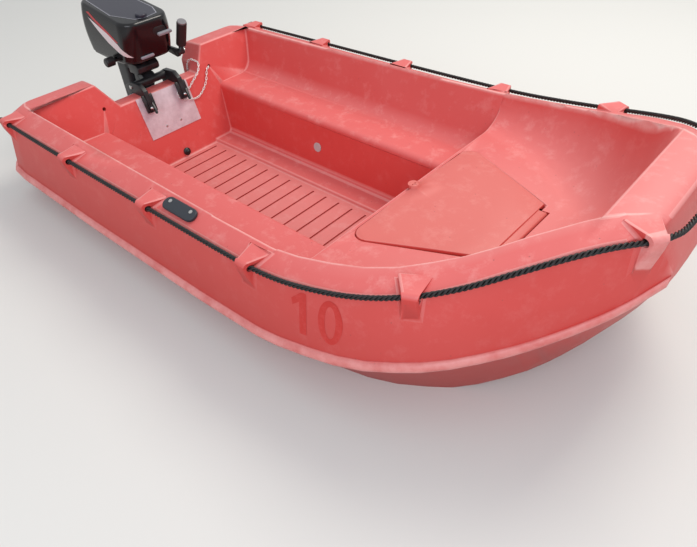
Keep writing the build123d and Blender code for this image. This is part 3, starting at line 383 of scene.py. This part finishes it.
# Number on the starboard topside
# A plain number cut from film, worn and faded into the red below it. It is
# laid on the topside by dropping each of its points on the hull.
number_at = Vector((0.511, -0.675, 0.217))
number_out = Vector((22, -186, 40)).normalized()
number_rise = radians(9)
number_lean = radians(5)
number_lift = 0.0006
one_outline = [(-11, 0), (12, 0), (13, 128), (-4, 128), (-36, 104), (-33, 84), (-11, 98)]
zero_middle = (88, 64)
zero_half = (38, 65)
zero_stroke = (21, 17)
zero_points = 32
film_red = "#c2261f"
film_wear_mm = 22.22
film_grid = 0.006
drop_height = 0.2

# Old vinyl film: a flat, slightly deeper red that has worn through in patches.
film, tree, shader, coordinates = new_material("worn_vinyl_number", roughness=0.5)
wear = add(
    tree, "TexNoise", {"Scale": 1000 / film_wear_mm, "Detail": 7.0, "Roughness": 0.75},
    {"Vector": coordinates["Object"]},
).outputs[0]
wear = add(tree, "MapRange", {"span": (0.48, 0.72), "To Max": 0.5}, {"Value": wear}).outputs[0]
colour = add(
    tree, "Mix", {"data_type": "RGBA", 6: linear(film_red), 7: linear(hull_red)}, {0: wear}
).outputs[2]
tree.links.new(colour, shader.inputs["Base Color"])


def surface_of(obj):
    """Search tree over an object's faces."""
    shape = bmesh.new()
    shape.from_mesh(obj.data)
    found = BVHTree.FromBMesh(shape)
    shape.free()
    return found


def lay_on(name, outlines, at, across, upward, out, surface, lift, material, grid=film_grid):
    """Fills flat outlines, given in metres, and drops them on a surface as thin film."""
    shape = bmesh.new()
    for outline in outlines:
        ring = [shape.verts.new(at + across * u + upward * v) for u, v in outline]
        for a, b in zip(ring, ring[1:] + ring[:1]):
            shape.edges.new((a, b))
    bmesh.ops.triangle_fill(shape, edges=shape.edges, use_beauty=True, normal=out)
    for axis in (across, upward):
        reach = [(vert.co - at).dot(axis) for vert in shape.verts]
        for step in range(1, ceil((max(reach) - min(reach)) / grid)):
            bmesh.ops.bisect_plane(
                shape, geom=shape.verts[:] + shape.edges[:] + shape.faces[:],
                plane_co=at + axis * (min(reach) + step * grid), plane_no=axis,
            )
    for vert in shape.verts:
        hit = surface.ray_cast(vert.co + out * drop_height, -out)
        if hit[0] is not None:
            vert.co = hit[0] + hit[1] * lift
    bmesh.ops.recalc_face_normals(shape, faces=shape.faces)
    for face in shape.faces:
        if face.normal.dot(out) < 0:
            face.normal_flip()
    return finish_mesh(shape, name, material, radians(40))


hull_surface = surface_of(hull_skin)
along = Vector((1, 0, 0))
along = (along - number_out * along.dot(number_out)).normalized()
above = number_out.cross(along)
if above.z < 0:
    above = -above
across = along * cos(number_rise) + above * sin(number_rise)
upward = above * cos(number_lean) - along * sin(number_lean)
one = [(u / 1000, v / 1000) for u, v in one_outline]
turns = [2 * pi * index / zero_points for index in range(zero_points)]
zero = [
    [
        (
            (zero_middle[0] + (zero_half[0] - cut_across) * cos(turn)) / 1000,
            (zero_middle[1] + (zero_half[1] - cut_up) * sin(turn)) / 1000,
        )
        for turn in turns
    ]
    for cut_across, cut_up in ((0, 0), zero_stroke)
]
for name, outlines in (("number_one", [one]), ("number_zero", zero)):
    digit = lay_on(name, outlines, number_at, across, upward, number_out, hull_surface, number_lift, film)
    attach(digit, "hull")

# Grab rope
# Three-strand black polypropylene, laid right-handed, threaded through the
# lugs and knotted behind the aftmost one on each side.
ROPE_ROUTE = [
    (-1.1807, 0.6641, 0.3240), (-0.6451, 0.6714, 0.3308), (-0.1630, 0.6720, 0.3381),
    (0.3099, 0.6738, 0.3494), (0.4315, 0.6683, 0.3593), (0.5424, 0.6524, 0.3768),
    (0.6640, 0.6256, 0.4021), (0.7843, 0.5774, 0.4385), (0.8785, 0.5189, 0.4767),
    (0.9594, 0.4487, 0.5165), (1.0298, 0.3832, 0.5493), (1.1003, 0.3106, 0.5716),
    (1.1610, 0.2402, 0.5734), (1.1840, 0.2080, 0.5760), (1.1990, 0.1400, 0.5660),
]
strand_radius = 0.0033
strand_offset = 0.0042
strand_lay = 0.039
strand_step = 0.004
strand_count = 3
knot_start = 0.0187
knot_length = 0.021
knot_turns = 3
turn_points = 12
knot_coil_radius = 0.0078
knot_tube_radius = 0.0052
dust_mm = 16.67
# Coarser than real fibres, so that it shows.
hair_mm = 1.111

# Fibres of polypropylene shine a little. They are black with greyer, dusty
# stretches, and a fine hairiness breaks up the strands' highlights.
black_rope, tree, shader, coordinates = new_material("black_laid_polypropylene", roughness=0.5)
dust = add(
    tree, "TexNoise", {"Scale": 1000 / dust_mm, "Detail": 6.0, "Roughness": 0.7},
    {"Vector": coordinates["Object"]},
).outputs[0]
colour = add(tree, "ValToRGB", {"stops": [(0.3, "#020203"), (0.8, "#231f21")]}, {0: dust}).outputs[0]
tree.links.new(colour, shader.inputs["Base Color"])
hair = add(
    tree, "TexNoise", {"Scale": 1000 / hair_mm, "Detail": 2.0}, {"Vector": coordinates["Object"]}
).outputs[0]
hair = add(tree, "Bump", {"Strength": 0.5, "Distance": 0.0004}, {"Height": hair})
tree.links.new(hair.outputs[0], shader.inputs["Normal"])


def smooth_line(points):
    """Close points along the smooth curve that a route's points steer."""
    data = bpy.data.curves.new("route", "CURVE")
    data.dimensions = "3D"
    spline = data.splines.new("NURBS")
    spline.points.add(len(points) - 1)
    for made, point in zip(spline.points, points):
        made.co = (*point, 1.0)
    spline.order_u = 3
    spline.use_endpoint_u = True
    holder = bpy.data.objects.new("route", data)
    mesh = bpy.data.meshes.new_from_object(holder)
    line = [vert.co.copy() for vert in mesh.vertices]
    bpy.data.objects.remove(holder)
    bpy.data.meshes.remove(mesh)
    return line


def line_length(points):
    """Length of a line of points."""
    return sum((b - a).length for a, b in zip(points, points[1:]))


def evenly(points, count):
    """Points at equal lengths along a line."""
    lengths = [0.0]
    for a, b in zip(points, points[1:]):
        lengths.append(lengths[-1] + (b - a).length)
    made = []
    index = 0
    for step in range(count + 1):
        reach = lengths[-1] * step / count
        while index < len(points) - 2 and lengths[index + 1] < reach:
            index += 1
        span = lengths[index + 1] - lengths[index]
        made.append(points[index].lerp(points[index + 1], (reach - lengths[index]) / span))
    return made


def swept(name, runs, material, resolution, closed=False):
    """Sweeps a round section along runs of close points, each with its radius."""
    data = bpy.data.curves.new(name, "CURVE")
    data.dimensions = "3D"
    data.bevel_depth = 1.0
    data.bevel_resolution = resolution
    data.use_fill_caps = not closed
    for points, radius in runs:
        spline = data.splines.new("POLY")
        spline.points.add(len(points) - 1)
        for made, point in zip(spline.points, points):
            made.co = (*point, 1.0)
            made.radius = radius
        spline.use_cyclic_u = closed
    holder = bpy.data.objects.new(name + "_line", data)
    mesh = bpy.data.meshes.new_from_object(holder)
    bpy.data.objects.remove(holder)
    shape = bmesh.new()
    shape.from_mesh(mesh)
    bpy.data.meshes.remove(mesh)
    return finish_mesh(shape, name, material, radians(60))


route = [Vector(point) for point in ROPE_ROUTE]
route += [Vector((point.x, -point.y, point.z)) for point in reversed(route)]
route = smooth_line(route)
centres = evenly(route, int(line_length(route) / strand_step))
strands = []
for strand in range(strand_count):
    turned = []
    upward = Vector((0, 0, 1))
    for index, centre in enumerate(centres):
        along = centres[min(index + 1, len(centres) - 1)] - centres[max(index - 1, 0)]
        side = along.cross(upward).normalized()
        upward = side.cross(along).normalized()
        turn = 2 * pi * (index * strand_step / strand_lay + strand / strand_count)
        turned.append(centre + (side * cos(turn) + upward * sin(turn)) * strand_offset)
    strands.append((turned, strand_radius))
for side in (1, -1):
    end = Vector((route[0].x, side * route[0].y, route[0].z))
    lay = (route[1] - route[0]).normalized()
    lay = Vector((lay.x, side * lay.y, lay.z))
    flat = lay.cross(Vector((0, 0, 1))).normalized()
    raised = flat.cross(lay)
    coil = []
    for step in range(knot_turns * turn_points + 1):
        turn = 2 * pi * step / turn_points
        reach = knot_start + knot_length * step / (knot_turns * turn_points)
        coil.append(end + lay * reach + (flat * cos(turn) + raised * sin(turn)) * knot_coil_radius)
    strands.append((coil, knot_tube_radius))
laid_rope = swept("laid_rope", strands, black_rope, resolution=2)
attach(laid_rope, "hull")
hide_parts("grab_rope")

# Small fittings on the hull
# Steel hinge pins under the lid's tab, a black drain plug, a grey blank disc
# and a black pad on the gunwale that two flat screws hold.
pad_screws_x = (-0.0860, 0.0140)
pad_screws_y = -0.621
pad_screw_radius = 0.0065
pad_screw_height = 0.0016
over_pad = 0.6
head_sunk = 0.0002
# Coarser than real brushing and real mould grain, so that they show.
brush_mm = 4.545
grain_mm = 1.429

# Brushed steel: bright and grey, with a shine that comes and goes.
steel, tree, shader, coordinates = new_material(
    "brushed_stainless_steel", roughness=0.3, metallic=1.0, colour="#c9c8c6"
)
brush = add(
    tree, "TexNoise", {"Scale": 1000 / brush_mm, "Detail": 3.0}, {"Vector": coordinates["Object"]}
).outputs[0]
brush = add(tree, "MapRange", {"To Min": 0.22, "To Max": 0.48}, {"Value": brush}).outputs[0]
tree.links.new(brush, shader.inputs["Roughness"])
# Nylon from a grained mould: near black, with a satin sheen.
black_plastic, tree, shader, coordinates = new_material(
    "black_moulded_nylon", roughness=0.4, colour="#1a1a1c"
)
grain = add(
    tree, "TexNoise", {"Scale": 1000 / grain_mm, "Detail": 2.0}, {"Vector": coordinates["Object"]}
).outputs[0]
grain = add(tree, "Bump", {"Strength": 0.2, "Distance": 0.0003}, {"Height": grain})
tree.links.new(grain.outputs[0], shader.inputs["Normal"])
# The pad's polyethylene is a duller blue black, the disc's nylon a pale grey.
pad_plastic = new_material("black_polyethylene_pad", roughness=0.5, colour="#2a2f37")[0]
grey_plastic = new_material("grey_moulded_nylon", roughness=0.42, colour="#b9b6b6")[0]

dress("lid_pins", steel)
dress("drain_plug", black_plastic, width=0.001)
dress("bench_disc", grey_plastic)
pad = dress("side_pad", pad_plastic, width=0.0012, angle=radians(40))
pad_surface = surface_of(pad)


def disc(shape, centre, normal, radius, height):
    """Adds a low disc with a rounded rim, standing on a point."""
    turn = normal.to_track_quat("Z", "Y").to_matrix().to_4x4()
    made = bmesh.ops.create_cone(
        shape, cap_ends=True, segments=20, radius1=radius, radius2=radius, depth=height,
        matrix=Matrix.Translation(centre + normal * height / 2) @ turn,
    )
    top = {vert for vert in made["verts"] if (vert.co - centre).dot(normal) > height / 2}
    rim = [edge for edge in shape.edges if edge.verts[0] in top and edge.verts[1] in top]
    bmesh.ops.bevel(
        shape, geom=rim, offset=height * 0.4, affect="EDGES", segments=2, profile=0.5, material=-1
    )


screws = bmesh.new()
for x in pad_screws_x:
    hit = pad_surface.ray_cast(Vector((x, pad_screws_y, over_pad)), Vector((0, 0, -1)))
    disc(screws, hit[0] - hit[1] * head_sunk, hit[1], pad_screw_radius, pad_screw_height)
pad_screw_heads = finish_mesh(screws, "pad_screw_heads", steel, radians(40))
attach(pad_screw_heads, "hull")

# Pressure plates on the transom
# Thick plastic-coated boards, once white, that take the bite of the motor's
# clamps inside and outside. Two flat screws hold the inner one.
board_screws_y = (-0.045, 0.035)
board_screws_z = 0.090
board_screw_radius = 0.0055
board_screw_height = 0.0015
before_plate = -0.9
blotch_mm = 38.46
scratch_mm = 5.556

# The coating has gone a dull pinkish grey, blotched and finely scratched.
board, tree, shader, coordinates = new_material("dull_coated_pressure_plate", roughness=0.42)
blotch = add(
    tree, "TexNoise", {"Scale": 1000 / blotch_mm, "Detail": 7.0, "Roughness": 0.7},
    {"Vector": coordinates["Object"]},
).outputs[0]
colour = add(tree, "ValToRGB", {"stops": [(0.3, "#c4b1b8"), (0.7, "#ddced5")]}, {0: blotch}).outputs[0]
tree.links.new(colour, shader.inputs["Base Color"])
scratch = add(
    tree, "TexNoise", {"Scale": 1000 / scratch_mm, "Detail": 4.0}, {"Vector": coordinates["Object"]}
).outputs[0]
scratch = add(tree, "Bump", {"Strength": 0.25, "Distance": 0.0006}, {"Height": scratch})
tree.links.new(scratch.outputs[0], shader.inputs["Normal"])
plates = dress("transom_plates", board, width=0.0008)
plate_surface = surface_of(plates)
board_screws = bmesh.new()
for y in board_screws_y:
    hit = plate_surface.ray_cast(Vector((before_plate, y, board_screws_z)), Vector((-1, 0, 0)))
    disc(board_screws, hit[0] - hit[1] * head_sunk, hit[1], board_screw_radius, board_screw_height)
board_screw_heads = finish_mesh(board_screws, "board_screw_heads", steel, radians(40))
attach(board_screw_heads, "hull")

# Motor's clamp, swivel and leg
# Aluminium castings under satin black paint. The screws and rods are plain
# stainless steel, the clamp's handles black.
transom_rake = radians(17.7)
transom_corner = Vector((-1.0587, 0, 0.240))
handle_off = 0.0502
handle_edge = 0.0002
# Broad jaws that carry the clamp's screws: y inside and outside, then n and a.
JAW_SPAN = [(0.066, 0.081), (0.103, 0.116)]
JAW_PROFILE = [(0.015, -0.074), (0.0265, -0.074), (0.030, -0.010), (0.026, 0.006), (0.015, 0.004)]
jaw_round = 0.002
# Bracket under the cowl, between the clamps: x, then z.
BRACKET_PROFILE = [
    (-1.190, 0.306), (-1.126, 0.306), (-1.112, 0.318), (-1.112, 0.338), (-1.126, 0.352), (-1.190, 0.352),
]
bracket_half = 0.056
bracket_round = 0.004
paint_cloud_mm = 33.33

# Paint on rough castings: black to dark grey in clouds, here glossier, there
# duller.
casting, tree, shader, coordinates = new_material(
    "satin_black_paint_on_aluminium", roughness=0.36, colour="#1b1c1f"
)
cloud = add(
    tree, "TexNoise", {"Scale": 1000 / paint_cloud_mm, "Detail": 5.0}, {"Vector": coordinates["Object"]}
).outputs[0]
colour = add(tree, "ValToRGB", {"stops": [(0.35, "#151619"), (0.7, "#2a2b2f")]}, {0: cloud}).outputs[0]
tree.links.new(colour, shader.inputs["Base Color"])
gloss = add(tree, "MapRange", {"To Min": 0.28, "To Max": 0.5}, {"Value": cloud}).outputs[0]
tree.links.new(gloss, shader.inputs["Roughness"])
# The screws' handles are black, their threads and pads plain steel.
screw_steel, tree, shader, coordinates = new_material("steel_screw_with_black_handle", roughness=0.32)
off_transom = add(
    tree, "VectorMath", {"operation": "DOT_PRODUCT", 1: (cos(transom_rake), 0, sin(transom_rake))},
    {0: coordinates["Object"]},
).outputs["Value"]
handle_start = transom_corner.x * cos(transom_rake) + transom_corner.z * sin(transom_rake) + handle_off
off_transom = add(
    tree, "MapRange", {"span": (handle_start - handle_edge, handle_start)}, {"Value": off_transom}
).outputs[0]
colour = add(
    tree, "Mix", {"data_type": "RGBA", 6: linear("#c9c8c6"), 7: linear("#17171a")}, {0: off_transom}
).outputs[2]
tree.links.new(colour, shader.inputs["Base Color"])
bare = add(tree, "Math", {"operation": "SUBTRACT", 0: 1.0}, {1: off_transom}).outputs[0]
tree.links.new(bare, shader.inputs["Metallic"])
dress("clamp_brackets", casting, width=0.0025)
dress("clamp_screws", screw_steel, width=0.0008)
dress("tilt_rods", steel, width=0.0008)
dress("swivel_bracket", casting, width=0.002)
dress("leg", casting, width=0.002)
dress("gearcase", casting, width=0.0015)


def along_transom(n, y, a):
    """Place of a point n off the transom's inner face, y to port and a up along it."""
    forward = Vector((cos(transom_rake), 0, sin(transom_rake)))
    upward = Vector((-sin(transom_rake), 0, cos(transom_rake)))
    return transom_corner + forward * n + upward * a + Vector((0, y, 0))


def prism(shape, outline, way):
    """Adds a solid that an outline sweeps along a straight way."""
    start = shape.faces.new([shape.verts.new(point) for point in outline])
    grown = bmesh.ops.extrude_face_region(shape, geom=[start], use_keep_orig=True)
    moved = [item for item in grown["geom"] if isinstance(item, bmesh.types.BMVert)]
    bmesh.ops.translate(shape, verts=moved, vec=way)


jaws = bmesh.new()
for side in (1, -1):
    for inside, outside in JAW_SPAN:
        outline = [along_transom(n, side * inside, a) for n, a in JAW_PROFILE]
        prism(jaws, outline, Vector((0, side * (outside - inside), 0)))
bmesh.ops.recalc_face_normals(jaws, faces=jaws.faces)
round_edges(jaws, radians(30), jaw_round)
clamp_jaws = finish_mesh(jaws, "clamp_jaws", casting, radians(35))
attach(clamp_jaws, "hull")
bracket = bmesh.new()
bracket_outline = [Vector((x, -bracket_half, z)) for x, z in BRACKET_PROFILE]
prism(bracket, bracket_outline, Vector((0, 2 * bracket_half, 0)))
bmesh.ops.recalc_face_normals(bracket, faces=bracket.faces)
round_edges(bracket, radians(30), bracket_round)
steering_bracket = finish_mesh(bracket, "steering_bracket", casting, radians(35))
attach(steering_bracket, "motor")

# Security chain
# Galvanised links of round wire. It runs from the hole in the transom round
# the port clamp's screw and back over the notch to the motor's well.
hole_side = 0.287
hole_up = 0.0128
hole_depths = (-0.05, 0.010)
chain_off = 0.0083
# Down over the plate in mm: y, then a up along the transom.
CHAIN_INSIDE = [
    (264, 8), (250, -22), (232, -52), (200, -80), (167, -98), (138, -97), (112, -88),
    (85, -83), (64, -59), (74, -35), (97, -28), (120, -38),
]
# Over the notch in mm: x, y and z.
CHAIN_OVER = [
    (-1026, 128, 203), (-1030, 150, 223), (-1034, 181, 242), (-1042, 211, 262), (-1066, 235.2, 287.4),
    (-1104, 235.2, 287.4), (-1130, 233, 290), (-1150, 222, 266), (-1152, 222, 226),
]
link_pitch = 0.0125
link_wire = 0.0016
link_half_width = 0.0036
link_arc = 6
link_slant = Vector((0.3, 0.1, 0.95))

chain_points = [along_transom(depth, hole_side, hole_up) for depth in hole_depths]
chain_points += [along_transom(chain_off, y / 1000, a / 1000) for y, a in CHAIN_INSIDE]
chain_points += [Vector(point) / 1000 for point in CHAIN_OVER]
chain_line = smooth_line(chain_points)
pins = evenly(chain_line, round(line_length(chain_line) / link_pitch))
# Zinc that the weather has dulled looks almost white, with little shine.
galvanised = new_material("bright_galvanised_chain", roughness=0.45, metallic=0.2, colour="#eceae8")[0]
links = []
for index, (start, end) in enumerate(zip(pins, pins[1:])):
    along = (end - start).normalized()
    flat = along.cross(link_slant).normalized()
    wide = flat if index % 2 else along.cross(flat)
    reach = link_pitch / 2 + link_wire - link_half_width
    ring = []
    for end_sign in (1, -1):
        for step in range(link_arc + 1):
            turn = pi * (step / link_arc - 0.5)
            ring.append(
                (start + end) / 2
                + along * end_sign * (reach + link_half_width * cos(turn))
                + wide * end_sign * link_half_width * sin(turn)
            )
    links.append((ring, link_wire))
chain_links = swept("security_chain", links, galvanised, resolution=1, closed=True)
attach(chain_links, "hull")

# Cowls
# Glossy black moulded covers. The top is a flat grey panel with a pale line
# round it, and a red stripe and a pale wedge run down the starboard side.
ripple_mm = 71.43
# Films on the starboard side: x, then z.
RED_STRIPE = [
    (-1.310, 0.569), (-1.288, 0.571), (-1.250, 0.552), (-1.165, 0.516), (-1.095, 0.480),
    (-1.103, 0.475), (-1.178, 0.506), (-1.262, 0.543),
]
WHITE_WEDGE = [
    (-1.300, 0.548), (-1.240, 0.529), (-1.165, 0.503), (-1.100, 0.470), (-1.064, 0.440),
    (-1.046, 0.418), (-1.064, 0.420), (-1.112, 0.434), (-1.172, 0.462), (-1.232, 0.500),
]
# Panel on the top: x, then y. The line round it shows where the panel is smaller.
TOP_PANEL = [
    (-1.375, -0.052), (-1.350, -0.082), (-1.150, -0.096), (-1.052, -0.040), (-1.040, 0.0),
    (-1.052, 0.070), (-1.110, 0.092), (-1.350, 0.082), (-1.375, 0.052),
]
panel_middle = -1.2
panel_shrink = (0.975, 0.955)
panel_grid = 0.02

# Gloss black plastic mirrors the light, a little warped by the moulding.
gloss_black, tree, shader, coordinates = new_material(
    "gloss_black_moulded_cowl", roughness=0.2, colour="#0c0c10"
)
ripple = add(
    tree, "TexNoise", {"Scale": 1000 / ripple_mm, "Detail": 1.0}, {"Vector": coordinates["Object"]}
).outputs[0]
ripple = add(tree, "Bump", {"Strength": 0.12, "Distance": 0.004}, {"Height": ripple})
tree.links.new(ripple.outputs[0], shader.inputs["Normal"])
# The panel and the films are smooth and even, and shine less than the cowl.
panel_grey = new_material("satin_grey_cowl_panel", roughness=0.36, colour="#2b2b38")[0]
pale_line = new_material("pale_grey_film", roughness=0.4, colour="#8f8f99")[0]
white_film = new_material("white_vinyl_stripe", roughness=0.35, colour="#d8d2d4")[0]
red_film = new_material("red_vinyl_stripe", roughness=0.35, colour="#b32c33")[0]
top_cowl = dress("top_cowl", gloss_black, smooth=radians(35))
dress("lower_cowl", black_plastic, width=0.003)
dress("engine_block", casting)
dress("cowl_cap", panel_grey, smooth=radians(40))
dress("shift_knob", black_plastic, smooth=radians(40))
cowl_surface = surface_of(top_cowl)

side_at = Vector((0, -0.2, 0))
for name, outline, film_kind, lift in (
    ("red_side_stripe", RED_STRIPE, red_film, 0.0006),
    ("white_side_wedge", WHITE_WEDGE, white_film, 0.0008),
):
    stripe = lay_on(
        name, [outline], side_at, Vector((1, 0, 0)), Vector((0, 0, 1)), Vector((0, -1, 0)),
        cowl_surface, lift, film_kind,
    )
    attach(stripe, "motor")
top_at = Vector((0, 0, 0.7))
inner = [
    (panel_middle + (x - panel_middle) * panel_shrink[0], y * panel_shrink[1]) for x, y in TOP_PANEL
]
for name, outline, film_kind, lift in (
    ("top_panel_line", TOP_PANEL, pale_line, 0.0005),
    ("top_panel", inner, panel_grey, 0.0009),
):
    panel = lay_on(
        name, [outline], top_at, Vector((1, 0, 0)), Vector((0, 1, 0)), Vector((0, 0, 1)),
        cowl_surface, lift, film_kind, panel_grid,
    )
    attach(panel, "motor")

# Starter grip and front bar
# A black nylon grip, painted light grey for the sky's reflection on it, stands on a
# black recess in the cowl's front and pulls the starter's cord. A blank grey bar
# is pressed in low beside it.
cowl_front = Vector((-1.0214, 0, 0.500))
front_lean = radians(5.8)
front_out = Vector((cos(front_lean), 0, -sin(front_lean)))
front_up = Vector((sin(front_lean), 0, cos(front_lean)))
to_port = Vector((0, 1, 0))
# Each is placed from the cowl's front, and sized by length, width and depth.
recess_at = cowl_front + to_port * 0.042 - front_out * 0.002
recess_size = (0.066, 0.034, 0.0036)
grip_at = cowl_front + to_port * 0.062 - front_up * 0.013
grip_size = (0.070, 0.014, 0.013)
grip_off = 0.003
grip_stem_radius = 0.0055
grip_stem_height = 0.004
bar_at = cowl_front - to_port * 0.035 - front_up * 0.093 - front_out * 0.008
bar_size = (0.066, 0.012, 0.0095)
# Shares of a bar's width and of its depth that its ends and its face lose to rounding.
end_round = 0.49
face_round = 0.3

# Smooth black nylon with a soft shine, painted a light grey that stands for the sky's reflection, so
# lighter than all round it.
grip_reflection_grey = new_material("starter_grip_painted_reflection", roughness=0.3, colour="#8d8d94")[0]


def rounded_bar(shape, at, size):
    """Starts a shape with a bar: round ends, a softened face, its back on the cowl's front."""
    length, width, depth = size
    turn = Matrix((to_port, front_up, front_out)).transposed().to_4x4()
    bmesh.ops.create_cube(
        shape, size=1.0,
        matrix=Matrix.Translation(at + front_out * depth / 2)
        @ turn @ Matrix.Diagonal((length, width, depth, 1)),
    )
    corners = [
        edge for edge in shape.edges
        if abs((edge.verts[0].co - edge.verts[1].co).dot(front_out)) > depth / 2
    ]
    bmesh.ops.bevel(
        shape, geom=corners, offset=width * end_round, affect="EDGES", segments=6, profile=0.5,
        material=-1,
    )
    front = [
        edge for edge in shape.edges
        if all((vert.co - at).dot(front_out) > depth * 0.99 for vert in edge.verts)
    ]
    bmesh.ops.bevel(
        shape, geom=front, offset=depth * face_round, affect="EDGES", segments=2, profile=0.5,
        material=-1,
    )


recess = bmesh.new()
rounded_bar(recess, recess_at, recess_size)
recess_plate = finish_mesh(recess, "starter_recess", black_plastic, radians(40))
grip = bmesh.new()
rounded_bar(grip, grip_at + front_out * grip_off, grip_size)
disc(grip, grip_at, front_out, grip_stem_radius, grip_stem_height)
starter_grip = finish_mesh(grip, "starter_grip", grip_reflection_grey, radians(40))
plate = bmesh.new()
rounded_bar(plate, bar_at, bar_size)
blank_plate = finish_mesh(plate, "blank_front_plate", pale_line, radians(40))
for piece, slot in (
    (recess_plate, "black_plastic"), (starter_grip, "black_plastic"), (blank_plate, "grey_plastic"),
):
    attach(piece, "motor")

# Tiller
# A painted arm, folded up beside the cowl, with a black rubber grip whose
# ribs run along it and a silver-grey end cap.
# Coarser than the real grain, so that it shows.
rubber_grain_mm = 2.381

# Ribbed rubber is matt and grainy, the cap's nylon smooth with a soft shine.
rubber, tree, shader, coordinates = new_material(
    "black_ribbed_rubber", roughness=0.55, colour="#1e1c1d"
)
grain = add(
    tree, "TexNoise", {"Scale": 1000 / rubber_grain_mm, "Detail": 2.0}, {"Vector": coordinates["Object"]}
).outputs[0]
grain = add(tree, "Bump", {"Strength": 0.4, "Distance": 0.0006}, {"Height": grain})
tree.links.new(grain.outputs[0], shader.inputs["Normal"])
cap_grey = new_material("silver_grey_nylon", roughness=0.32, colour="#7f7d80")[0]
dress("tiller_pin", steel, width=0.0008)
dress("tiller_arm", casting, width=0.002)
dress("tiller_grip", rubber, width=0.003)
dress("tiller_cap", cap_grey, width=0.002)

# Propeller
# A painted aluminium casting with three blades on a hub that slides on the
# shaft, and a plain steel nut.
# Its paint is an even dark grey with a satin sheen.
prop_paint = new_material("dark_grey_painted_propeller", roughness=0.4, colour="#26272a")[0]
dress("propeller", prop_paint)
dress("propeller_nut", steel, width=0.0006)

# Floor
# A plain pale floor lies at the waterline. It is open inside the boat, where
# the sole and the locker lie lower than the water.
inner_outline = [(-1.015, 0.45), (0.38, 0.45), (0.765, 0.25)]
floor_size = 60.0
floor_colour = "#d9d9d6"

floor_material = new_material("pale_matt_floor", roughness=0.9, colour=floor_colour)[0]
ground = bmesh.new()
hole = inner_outline + [(x, -y) for x, y in reversed(inner_outline)]
corners = [(x * floor_size / 2, y * floor_size / 2) for x, y in ((-1, 1), (1, 1), (1, -1), (-1, -1))]
edges = []
for outline in (hole, corners):
    ring = [ground.verts.new((x, y, 0)) for x, y in outline]
    edges += [ground.edges.new((a, b)) for a, b in zip(ring, ring[1:] + ring[:1])]
bmesh.ops.triangle_fill(ground, edges=edges, use_beauty=True)
for face in ground.faces:
    if face.normal.z < 0:
        face.normal_flip()
floor = finish_mesh(ground, "floor", floor_material)

# Light
# A soft bright sky, one wide warm lamp high over the port side, and a wider,
# weaker and cooler one over the starboard bow that fills the shadows.
sky_colour = "#f4f6f8"
sky_strength = 0.75
lamp_target = Vector((0, 0, 0.2))

world = bpy.data.worlds.new("sky")
world.use_nodes = True
world.node_tree.nodes["Background"].inputs["Color"].default_value = linear(sky_colour)
world.node_tree.nodes["Background"].inputs["Strength"].default_value = sky_strength
bpy.context.scene.world = world


def lamp(name, place, size, power, colour):
    """Adds a square area lamp that faces the boat."""
    data = bpy.data.lights.new(name, "AREA")
    data.size = size
    data.energy = power
    data.color = linear(colour)[:3]
    made = bpy.data.objects.new(name, data)
    turn = (place - lamp_target).to_track_quat("Z", "Y").to_matrix().to_4x4()
    made.matrix_world = Matrix.Translation(place) @ turn
    bpy.context.collection.objects.link(made)


lamp("key", Vector((0.6, 2.6, 4.2)), 2.2, 130, "#fff8ee")
lamp("fill", Vector((2.5, -3.5, 3.0)), 3.0, 85, "#f3f4ff")
bpy.context.scene.view_settings.view_transform = "Standard"
